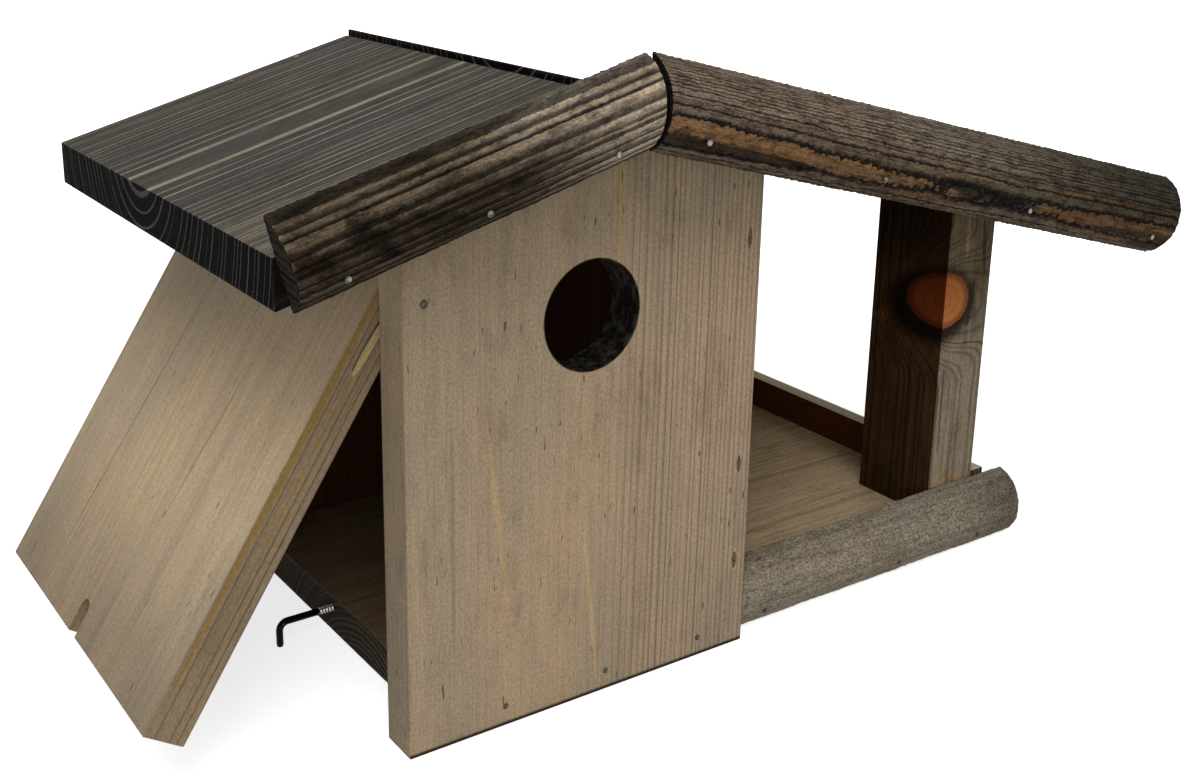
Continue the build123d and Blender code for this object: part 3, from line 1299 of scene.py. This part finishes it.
    def right_lip(self) -> Wood:
        """Trim on the right: close lines above, long flames where the saw ran along the rings.

        Returns:
            Its finish.
        """
        down, _ = self.slope(Side.RIGHT)
        dark, orange, brown = stain(38, 38, 34), stain(150, 116, 80), stain(108, 88, 69)
        flames = (
            ((146, 10), (226, 5), 7.0, dark, 0.75, 0.3),
            ((-161, 6.4), (165, 6.2), 6.5, orange, 0.9, 0.8),
            ((60, 4.5), (162, 5.8), 4.2, brown, 0.6, 0.4),
            ((96, 1.0), (176, 2.5), 4.0, brown, 0.7, 0.5),
            ((-85, 2.5), (84, 3.5), 4.8, dark, 0.9, 0.5),
            ((217.5, 6.4), (462, 1.6), 8.5, stain(124, 94, 66), 0.9, 0.8),
            ((265, 4), (345, 6), 3.6, dark, 0.7, 0.4),
            ((300, 0), (340, 1), 6.0, dark, 0.85, 0.3),
            ((40, 16.4), (215, 14.8), 1.0, orange, 0.9),
            ((150, 14.1), (500, 23.8), 1.2, orange, 0.9),
        )
        return self._lip(
            Side.RIGHT, flames, pith=(48.3, 17.2), ring=1.0, line=0.58, weakest=0.85, wander=0.06,
            jag=0.05, phase=0.5, swing=(0.57, 190.0, -165.4), pits=0.55,
            early=stain(118, 107, 93), warm=stain(118, 100, 82), late=stain(25, 24, 23),
            shades=(
                Shade((0, -0.7, 0.7), stain(146, 150, 148), 1.0, down, -0.02, 0.17),
                # Painted shade on the round's lower, down-facing half.
                Shade((0, -0.7, -0.7), stain(208, 205, 200), 1.0),
            ),
        )

    def dress(self, frame: dict[str, Any]) -> None:
        """Finish boards and trims.

        Args:
            frame: the loaded frame.
        """
        for side in Side:
            dress(frame, f"roof_board_{side.label}", self.board(side))
        for side, lip in zip(Side, (self.left_lip(), self.right_lip())):
            node = f"roof_trim_{side.label}"
            put_in_frame(self.bar(side), lip.material(), Body.HOUSE, node)


@dataclass
class FeederTray:
    """Back board, post, front lip and end lath of the feeder."""

    post: Point = (32.0, 46.0, 180.0)
    post_side: float = 0.12975
    post_face: float = -0.0865
    splits: tuple[Point, ...] = (
        (45, 85, 178), (50.5, 128, 180), (57.4, 124, 180), (62, 142, 180), (69, 30, 104), (76, 28, 98),
    )
    lip: Point = (37.0, 15.5, 194.0)
    lip_start: Point = (-0.00925, -0.0865, 0.0)
    lip_cut: float = 5.0
    lip_taper: float = 1.11
    lath: Point = (35.5, 9.0, 191.0)
    back: Point = (171.0, 18.0, 215.0)
    knot_place: Point = (0.1305, -0.0855, 0.132)
    knot_run: Point = (0.58, 0.8, -0.12)
    knot_drop: Point = (-0.003, 0.002, -0.0045)
    knot_radius: float = 14.0
    # Reach of the painted shadow below the knot, as a share of the knot's radius. knot_drop moves it down and
    # to the left.
    knot_shadow_reach: float = 1.08

    def bar(self) -> bpy.types.Object:
        """Model the lip in front of the tray, sawn flat below.

        Returns:
            The lip in its place.
        """
        chord, depth, length = (size * MM for size in self.lip)
        return HalfRound(
            name="rough_tray_lip", start=self.lip_start, up=TOP, run=RIGHT, low=-self.lip_cut * MM,
            chord=chord, depth=depth, length=length, cut=(self.lip_start, UNDER), taper=self.lip_taper,
        ).build()

    def upright(self) -> Wood:
        """Post with its knot on the front left corner.

        Returns:
            Its finish.
        """
        # Colour of the painted shadow under the knot.
        knot_shadow = stain(24, 18, 13)
        low = tuple(Vector(self.knot_place) + Vector(self.knot_drop))
        side, face = self.post_side, self.post_face
        return Wood(
            "post_stain", middle("feeder_post"), TOP, REAR, self.post,
            pith=(-48.0, 40.0), ring=3.6, line=0.6, rings=0.75,
            early=stain(134, 121, 99), warm=stain(128, 116, 96), late=stain(48, 42, 35), grime=0.6,
            end=stain(34, 30, 25), edge=stain(116, 108, 92), fibre=0.3, tooth=0.3, wear=0.0,
            streaks=(
                *(
                    Streak((side, -y * MM, foot * MM), (side, (1 - y) * MM, head * MM), 1.0, CRACK)
                    for y, foot, head in self.splits
                ),
                Streak((side, -0.066, 0.129), (side, -0.043, 0.112), 5.0, stain(206, 146, 80), 0.5),
                Streak((0.1432, face, 0.172), (0.143, face, 0.152), 2.2, stain(196, 166, 122), 0.7),
                Streak((0.1535, face, 0.172), (0.157, face, 0.142), 1.8, stain(50, 44, 36), 0.7),
                Streak((0.1475, face, 0.116), (0.1495, face, 0.140), 3.2, stain(52, 46, 38), 0.65),
                Streak((0.1335, face, 0.096), (0.1345, face, 0.052), 0.9, CRACK, 0.7),
                Streak((0.132, face, 0.037), (0.160, face, 0.031), 7.0, stain(158, 130, 92), 0.5),
            ),
            # Painted shade on the left face inside the feeder, over a darker stain, deeper near the top under
            # the roof. Painted roof shadow, with some dirt, on the top of the front face.
            shades=(
                Shade(LEFT, stain(124, 98, 75), 1.0),
                Shade(LEFT, stain(150, 146, 140), 1.0, TOP, 0.12, 0.165),
                Shade(FRONT, stain(168, 160, 146), 0.9, TOP, 0.085, 0.165),
            ),
            knots=(
                # A dark crescent below the knot: painted shadow under it.
                Knot(low, self.knot_run, self.knot_radius * self.knot_shadow_reach, knot_shadow, knot_shadow, knot_shadow),
                Knot(
                    self.knot_place, self.knot_run, self.knot_radius,
                    core=stain(198, 126, 70), halo=stain(44, 31, 21), rim=stain(84, 42, 22),
                ),
            ),
        )

    def rail(self) -> Wood:
        """Half-round lip in front of the tray.

        Returns:
            Its finish.
        """
        return Wood(
            "tray_lip_stain", middle("tray_front_trim"), RIGHT, REAR, self.lip,
            pith=(24.0, 70.0), ring=3.2, rings=0.45,
            early=stain(128, 120, 105), warm=stain(139, 126, 106), late=stain(82, 76, 67), grime=0.45,
            end=stain(48, 42, 35), edge=stain(138, 130, 112), specks=0.85, wear=0.0, tooth=0.65, pits=0.15,
            shades=(Shade(FRONT, stain(196, 194, 190), 0.9, RIGHT, 0.13, 0.185),),
        )

    def end_lath(self) -> Wood:
        """Lath at the tray's end.

        Returns:
            Its finish.
        """
        return Wood(
            "lath_stain", middle("tray_end_lath"), REAR, RIGHT, self.lath,
            pith=(30.0, 50.0), ring=3.0, rings=0.5,
            early=stain(190, 176, 146), warm=stain(196, 178, 142), late=stain(142, 128, 102),
            end=stain(58, 50, 41), edge=stain(190, 178, 148), wear=0.0,
            # Painted shade on the left face inside the tray. The right face is a little darker.
            shades=(Shade(LEFT, stain(98, 62, 44), 1.0), Shade(RIGHT, stain(190, 188, 184), 1.0)),
        )

    def rear(self) -> Wood:
        """Back board of the feeder.

        Returns:
            Its finish.
        """
        return Wood(
            "feeder_back_stain", middle("feeder_back_panel"), TOP, REAR, self.back,
            pith=(24.0, -48.0), ring=3.2, rings=0.5,
            early=stain(152, 135, 110), warm=stain(172, 148, 115), late=stain(112, 100, 83),
            end=stain(58, 49, 39), edge=stain(136, 122, 100), cracks=0.4,
        )

    def dress(self, frame: dict[str, Any]) -> None:
        """Finish the four pieces.

        Args:
            frame: the loaded frame.
        """
        dress(frame, "feeder_post", self.upright())
        put_in_frame(self.bar(), self.rail().material(), Body.HOUSE, "tray_front_trim")
        dress(frame, "tray_end_lath", self.end_lath())
        dress(frame, "feeder_back_panel", self.rear())


@dataclass
class SideDoor:
    """Swinging side board, standing half open at rest; places on it are given from the hinge."""

    angle: float = 33.0
    size: Point = (171.6, 18.0, 207.0)
    hinge: Point = (-0.17125, 0.0, 0.18576)
    outer: float = -9.0
    edge: float = -85.8
    edge_lines: Point = (-4.6, 1.8, 5.2)

    def _up(self) -> Vector:
        """Direction up along the board."""
        return Vector((math.sin(math.radians(self.angle)), 0, math.cos(math.radians(self.angle))))

    def _inward(self) -> Vector:
        """Direction through the board, towards the nest."""
        return Vector((math.cos(math.radians(self.angle)), 0, -math.sin(math.radians(self.angle))))

    def _at(self, depth: float, height: float, deep: float) -> Point:
        """A point of the board.

        Args:
            depth: millimetres along Y.
            height: millimetres up the board from the hinge.
            deep: millimetres through its thickness.

        Returns:
            The point, in metres.
        """
        flat = Vector((0, depth * MM, 0))
        return tuple(Vector(self.hinge) + flat + self._up() * height * MM + self._inward() * deep * MM)

    def _on_face(self, start: Pair, end: Pair, width: float, tone: Colour, amount: float) -> Streak:
        """A streak on the outer face, between two places by depth and height."""
        return Streak(self._at(*start, self.outer), self._at(*end, self.outer), width, tone, amount)

    def _on_edge(
        self, start: Pair, end: Pair, width: float, tone: Colour, amount: float, core: float = 0.35
    ) -> Streak:
        """A streak on the front edge, between two places by height and thickness."""
        return Streak(self._at(self.edge, *start), self._at(self.edge, *end), width, tone, amount, core)

    def board(self) -> Wood:
        """Smooth pale face with faint streaks down its height.

        Returns:
            Its finish.
        """
        amber, fresh = stain(172, 136, 76), stain(222, 196, 144)
        up, inward = self._up(), self._inward()
        return Wood(
            "door_stain", middle("side_door"), tuple(up), tuple(inward), self.size,
            pith=(30.0, 62.0), ring=3.2, rings=0.3,
            early=stain(160, 144, 121), warm=stain(180, 158, 127), late=stain(126, 113, 94),
            end=stain(84, 72, 56), edge=stain(146, 132, 108), specks=0.7, cracks=0.25,
            fibre=0.11, grime=0.16, cloud=0.8, tooth=0.22,
            streaks=(
                self._on_face((36, -30), (44, -166), 0.45, CRACK, 0.75),
                self._on_face((-30, -36), (-23, -128), 0.45, CRACK, 0.55),
                self._on_face((6, -40), (-3, -190), 2.6, RESIN, 0.6),
                self._on_edge((40, -7.4), (-170, -6.8), 2.4, amber, 0.8),
                self._on_edge((20, -1.5), (-170, 0.5), 0.8, amber, 0.7),
                self._on_edge((-20, 3.2), (-200, 2.6), 0.7, RESIN, 0.6),
                *(self._on_edge((40, deep), (-226, deep + 0.4), 0.5, CRACK, 0.5) for deep in self.edge_lines),
                self._on_edge((-34, -2.0), (-8, -1.0), 1.3, CRACK, 0.8),
                self._on_edge((-36, -0.8), (-8, 0.8), 1.9, fresh, 0.95, 0.7),
            ),
            shades=(
                # Painted shade on the inner face. The front edge is greyer, and the outer face is darker
                # towards its low end.
                Shade(tuple(inward), INSIDE_SHADE, 0.9), Shade(FRONT, stain(190, 187, 179), 0.9),
                Shade(tuple(-inward), stain(203, 203, 206), 0.95, tuple(-up), 0.04, 0.13),
            ),
        )

    def dress(self, frame: dict[str, Any]) -> None:
        """Finish the door."""
        dress(frame, "side_door", self.board())


@dataclass
class TurnHook:
    """Bent wire with a wood-screw thread, turning in the base's left edge; sizes in metres."""

    wire: float = 0.0016
    root: float = 0.0012
    pitch: float = 0.0014
    inner: float = -0.14175
    thread_end: float = -0.1690
    leg: float = -0.18825
    height: float = 0.0125
    bend: float = 0.004
    foot: float = 0.0008
    blunt: float = 0.6
    lead: float = 0.002
    shoulder: float = 0.0008
    foot_steps: tuple[Pair, ...] = ((0.0008, 0.86), (0.0004, 0.6))
    ridge: float = 1.15
    ridge_from: float = 0.003
    ridge_steps: int = 16
    rubbed: Pair = (-0.0015, 0.0005)
    crease: float = 40.0
    sides: int = 20
    steps: int = 10

    def shank(self) -> bpy.types.Object:
        """Model the wire: core of the thread, shoulder, bend and tapered leg.

        Returns:
            The wire, ready to be joined with its thread.
        """
        clear_selection()
        bpy.ops.mesh.primitive_circle_add(
            vertices=self.sides, radius=self.root * self.blunt, fill_type="NGON",
            location=(self.inner, 0, self.height), rotation=(0, math.pi / 2, 0),
        )
        hook = bpy.context.object
        hook.name = "turn_hook"
        apply_place()
        bpy.ops.object.mode_set(mode="EDIT")
        straight, low = self.leg + self.bend, self.height - self.bend
        self._extend(-self.lead, 0, 1 / self.blunt)
        self._extend(self.thread_end - self.inner + self.lead, 0)
        self._extend(-self.shoulder, 0, self.wire / self.root)
        self._extend(straight - self.thread_end + self.shoulder, 0)
        bpy.ops.mesh.spin(steps=self.steps, angle=math.pi / 2, center=(straight, 0, low), axis=REAR)
        self._extend(0, self.foot + sum(drop for drop, _ in self.foot_steps) - low)
        for drop, scale in self.foot_steps:
            self._extend(0, -drop, scale)
        leave_edit(WELD)
        return hook

    @staticmethod
    def _extend(along: float, rise: float, scale: float = 1.0) -> None:
        """Extrude the selected end and resize it about its own middle.

        Args:
            along: how far it goes along X.
            rise: how far it goes along Z.
            scale: its new size, as a share of the old.
        """
        bpy.ops.mesh.extrude_region_move(TRANSFORM_OT_translate={"value": (along, 0, rise)})
        if scale != 1.0:
            bpy.ops.transform.resize(value=(scale, scale, scale))

    def thread(self) -> bpy.types.Object:
        """Model the thread as one ridge wound round the core.

        Returns:
            The ridge.
        """
        clear_selection()
        bpy.ops.mesh.primitive_circle_add(
            vertices=3, radius=(self.wire - self.root) * self.ridge, fill_type="NOTHING"
        )
        ridge = bpy.context.object
        edit_all()
        bpy.ops.transform.rotate(value=math.pi / 2, orient_axis="X", center_override=(0, 0, 0))
        bpy.ops.transform.translate(value=(self.root, 0, 0))
        bpy.ops.object.mode_set(mode="OBJECT")
        screw = ridge.modifiers.new("thread", "SCREW")
        screw.axis, screw.angle = "Z", 2 * math.pi
        screw.screw_offset = self.pitch
        screw.iterations = int((self.inner - self.ridge_from - self.thread_end) / self.pitch)
        screw.steps = screw.render_steps = self.ridge_steps
        bpy.ops.object.modifier_apply(modifier=screw.name)
        ridge.rotation_euler = (0, math.pi / 2, 0)
        ridge.location = (self.thread_end, 0, self.height)
        apply_place()
        edit_all()
        bpy.ops.mesh.remove_doubles(threshold=WELD)
        bpy.ops.mesh.fill_holes(sides=3)
        leave_edit()
        return ridge

    def build(self) -> None:
        """Model the hook, put it in the frame and finish it."""
        hook = join([self.shank(), self.thread()], "turn_hook")
        smooth_below(self.crease)
        rubbed = tuple(self.thread_end + off for off in self.rubbed)
        steel = Steel("hook_steel", stain(176, 172, 164), stain(20, 20, 22), 0.9, 420.0, rubbed=rubbed)
        put_in_frame(hook, steel.material(), Body.HOOK, "latch_hook")


@dataclass
class Nails:
    """Wire nails with low domed heads, set where the frame's nails are; in metres."""

    groups: tuple[str, ...] = (
        "hinge_nail_front", "hinge_nail_back", "front_panel_nails", "back_panel_nails", "feeder_back_nails",
        "base_nails", "roof_board_nails", "roof_trim_nails", "tray_trim_nails", "lath_nails",
    )
    proud: tuple[str, ...] = ("roof_trim_nails", "tray_trim_nails", "roof_board_nails")
    bright: tuple[str, ...] = ("roof_trim_nails", "roof_board_nails")
    head: float = 0.00125
    shank: float = 0.0007
    hinge_head: float = 0.00165
    hinge_shank: float = 0.00115
    lift: float = 0.0006
    rim: float = 0.00035
    neck: float = 0.0004
    point: float = 0.0018
    tip: float = 0.12
    spare: float = 0.0027
    dome: tuple[Pair, ...] = ((0.28, 0.00018), (0.3, 0.0001))
    weld: float = 1e-7
    cap: float = 3e-4
    crease: float = 35.0
    sides: int = 16

    def nail(self, head: float, shank: float, length: float) -> bpy.types.Object:
        """Model one nail, head up, its point along -Z.

        Args:
            head: radius of the head.
            shank: radius of the shank.
            length: from the head's rim to the point.

        Returns:
            The nail, its rim at the origin.
        """
        clear_selection()
        bpy.ops.mesh.primitive_circle_add(vertices=self.sides, radius=head, fill_type="NGON")
        made = bpy.context.object
        bpy.ops.object.mode_set(mode="EDIT")
        bpy.ops.mesh.select_mode(type="FACE")
        bpy.ops.mesh.select_all(action="SELECT")
        for drop, scale in (
            (self.rim, 1.0), (self.neck, shank / head), (length - self.spare, 1.0), (self.point, self.tip)
        ):
            bpy.ops.mesh.extrude_region_move(TRANSFORM_OT_translate={"value": (0, 0, -drop)})
            bpy.ops.transform.resize(value=(scale, scale, 1.0))
        bpy.ops.mesh.select_mode(type="EDGE")
        bpy.ops.mesh.select_all(action="DESELECT")
        bpy.ops.object.mode_set(mode="OBJECT")
        for edge in made.data.edges:
            edge.select = all(made.data.vertices[index].co.z > -self.weld for index in edge.vertices)
        bpy.ops.object.mode_set(mode="EDIT")
        bpy.ops.mesh.edge_face_add()
        bpy.ops.mesh.select_mode(type="FACE")
        for inset, rise in self.dome:
            bpy.ops.mesh.inset(thickness=head * inset)
            bpy.ops.transform.translate(value=(0, 0, rise))
        leave_edit(self.weld)
        smooth_below(self.crease)
        return made

    def seats(self, mesh: bpy.types.Mesh) -> list[tuple[Vector, Vector, float]]:
        """Find the nails in a group of the frame.

        Args:
            mesh: the group's mesh, left as it is.

        Returns:
            For each nail the middle of its head's top, its direction outwards and its length.
        """
        keys = [tuple(round(part / WELD) for part in vertex.co) for vertex in mesh.vertices]
        parent = {key: key for key in keys}

        def root(key: tuple[int, ...]) -> tuple[int, ...]:
            """Follow a point to the one that stands for all that it is joined to.

            Args:
                key: the point.

            Returns:
                The point that stands for it.
            """
            while parent[key] != key:
                key = parent[key]
            return key

        for face in mesh.polygons:
            first = root(keys[face.vertices[0]])
            for index in face.vertices:
                parent[root(keys[index])] = first
        nails: dict[tuple[int, ...], list[Vector]] = {}
        for key in parent:
            nails.setdefault(root(key), []).append(Vector(key) * WELD)
        return [self._axis(points) for points in nails.values()]

    def _axis(self, points: list[Vector]) -> tuple[Vector, Vector, float]:
        """Measure one nail from the points of its surface.

        Args:
            points: the points.

        Returns:
            The middle of its head's top, its direction outwards and its length.
        """
        centre = sum(points, Vector()) / len(points)
        far = max(points, key=lambda point: (point - centre).length)
        other = max(points, key=lambda point: (point - far).length)
        rough = (far - other).normalized()
        reach = [rough.dot(point) for point in points]
        caps = [
            [point for point, at in zip(points, reach) if at > max(reach) - self.cap],
            [point for point, at in zip(points, reach) if at < min(reach) + self.cap],
        ]
        centres = [sum(cap, Vector()) / len(cap) for cap in caps]
        spans = [max((point - centre).length for point in cap) for cap, centre in zip(caps, centres)]
        top, tip = centres if spans[0] > spans[1] else centres[::-1]
        return top, (top - tip).normalized(), (top - tip).length

    def group(self, name: str, mesh: bpy.types.Mesh) -> bpy.types.Object:
        """Model the nails of one group; nails of one length are modelled once and copied.

        Args:
            name: the group's node.
            mesh: that node's mesh.

        Returns:
            The nails as one piece, in their places.
        """
        hinge = name.startswith("hinge")
        head, shank = (self.hinge_head, self.hinge_shank) if hinge else (self.head, self.shank)
        lift = self.lift if name in self.proud else 0.0
        made, models = [], {}
        for top, outward, length in self.seats(mesh):
            whole = round(length / WELD)
            if whole not in models:
                models[whole] = self.nail(head, shank, length)
            nail = models[whole].copy()
            nail.data = models[whole].data.copy()
            bpy.context.scene.collection.objects.link(nail)
            turn = outward.to_track_quat("Z", "Y").to_matrix().to_4x4()
            settle(nail, Matrix.Translation(top + outward * lift) @ turn)
            made.append(nail)
        for model in models.values():
            bpy.data.objects.remove(model)
        return join(made, f"{name}_domed")

    def build(self, frame: dict[str, Any]) -> None:
        """Model every group, put it in the frame and finish it.

        Args:
            frame: the loaded frame.
        """
        bare = Steel("nail_steel", stain(134, 132, 127), stain(62, 59, 55), 0.35, 300.0).material()
        stained = Steel(
            "nail_steel_stained", stain(88, 78, 64), stain(34, 30, 25), 0.6, 500.0, metal=0.2
        ).material()
        for name in self.groups:
            finish = bare if name in self.bright else stained
            nails = self.group(name, frame["nodes"][name].data)
            put_in_frame(nails, finish, Body.HOUSE, name)


@dataclass(frozen=True)
class Lamp:
    """A soft square light; its level is the share of full light that it lays on a surface facing it."""

    name: str
    place: Point
    size: float
    level: float


@dataclass
class Studio:
    """White floor, soft light and the camera at the photograph's angle."""

    aim: Point = (0.0, 0.0, 0.11)
    floor_size: float = 9.0
    floor_drop: float = 0.0002
    paper: tuple[Colour, Colour] = ((0.84, 0.84, 0.84), (0.87, 0.87, 0.87))
    paper_waves: Waves = Waves(40.0, 40.0)
    glow: Colour = (0.74, 0.74, 0.74)
    glow_spread: Pair = (0.35, 1.4)
    ambient: float = 0.27
    lens: float = 43.609
    sensor: float = 36.0
    eye: Point = (-0.41739, -0.53937, 0.34148)
    look: Point = (73.92, 0.0, -32.43)
    shift: Pair = (0.0878, -0.0963)
    clip: Pair = (0.01, 50.0)
    lamps: tuple[Lamp, ...] = (
        Lamp("key", (-0.7, -0.75, 2.1), 1.6, 0.78),
        Lamp("fill", (-1.4, -1.6, 0.7), 1.4, 0.26),
        Lamp("back", (1.5, 1.9, 0.9), 1.4, 0.2),
    )

    def floor(self) -> None:
        """White floor that keeps the shadow, whiter away from the object."""
        clear_selection()
        bpy.ops.mesh.primitive_plane_add(size=self.floor_size, location=(0, 0, -self.floor_drop))
        floor = bpy.context.object
        floor.name = "studio_floor"
        paper, graph = new_finish("floor_paper")
        spot = graph.add("ShaderNodeTexCoord").outputs["Object"]
        tooth = graph.noise(spot, self.paper_waves)
        matt = graph.add("ShaderNodeBsdfDiffuse", None, {"Color": graph.mix(tooth, *self.paper)})
        rays = graph.add("ShaderNodeLightPath")
        seen = Value(graph, rays.outputs["Is Camera Ray"]).most(Value(graph, rays.outputs["Is Glossy Ray"]))
        spread = graph.span(spot).rise(*self.glow_spread)
        tone = graph.mix(spread, self.glow, WHITE)
        glow = graph.add("ShaderNodeEmission", None, {"Color": tone, "Strength": seen})
        graph.close(graph.add("ShaderNodeAddShader", None, {0: matt.outputs[0], 1: glow.outputs[0]}))
        floor.data.materials.append(paper)

    def backdrop(self) -> None:
        """White world behind the floor, which lights the object less than the camera sees of it."""
        world = bpy.data.worlds.new("studio_world")
        bpy.context.scene.world = world
        world.use_nodes = True
        sky = Graph(world.node_tree)
        paths = sky.add("ShaderNodeLightPath")
        open_view = Value(sky, paths.outputs["Is Camera Ray"])
        for kind in ("Is Glossy Ray", "Is Transmission Ray"):
            open_view = open_view.most(Value(sky, paths.outputs[kind]))
        level = open_view * (1.0 - self.ambient) + self.ambient
        light = sky.add("ShaderNodeBackground", None, {"Color": WHITE, "Strength": level})
        sky.close(light, "ShaderNodeOutputWorld")

    def light(self) -> None:
        """Hang the lamps round the object."""
        for lamp in self.lamps:
            away = Vector(self.aim) - Vector(lamp.place)
            data = bpy.data.lights.new(lamp.name, "AREA")
            data.shape, data.size = "SQUARE", lamp.size
            data.energy = lamp.level * math.pi**2 * away.length_squared
            holder = bpy.data.objects.new(lamp.name, data)
            holder.location = lamp.place
            holder.rotation_euler = away.to_track_quat("-Z", "Y").to_euler()
            bpy.context.scene.collection.objects.link(holder)

    def camera(self) -> None:
        """Set up the camera."""
        data = bpy.data.cameras.new("camera")
        data.lens, data.sensor_width = self.lens, self.sensor
        data.shift_x, data.shift_y = self.shift
        data.clip_start, data.clip_end = self.clip
        holder = bpy.data.objects.new("camera", data)
        holder.location = self.eye
        holder.rotation_euler = tuple(math.radians(part) for part in self.look)
        bpy.context.scene.collection.objects.link(holder)
        bpy.context.scene.camera = holder

    def build(self) -> None:
        """Floor, backdrop, light, camera and a plain view."""
        self.floor()
        self.backdrop()
        self.light()
        self.camera()
        bpy.context.scene.view_settings.view_transform = "Standard"
        LOG.info("studio ready with %d lamps", len(self.lamps))


def main() -> None:
    """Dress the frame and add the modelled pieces."""
    logging.basicConfig(level=logging.INFO, format="%(name)s: %(message)s")
    for old in list(bpy.data.objects):
        bpy.data.objects.remove(old)
    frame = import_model()
    for assembly in (NestBox(), Roof(), FeederTray(), SideDoor()):
        assembly.dress(frame)
    Nails().build(frame)
    TurnHook().build()
    Studio().build()


if __name__ == "__main__":
    main()
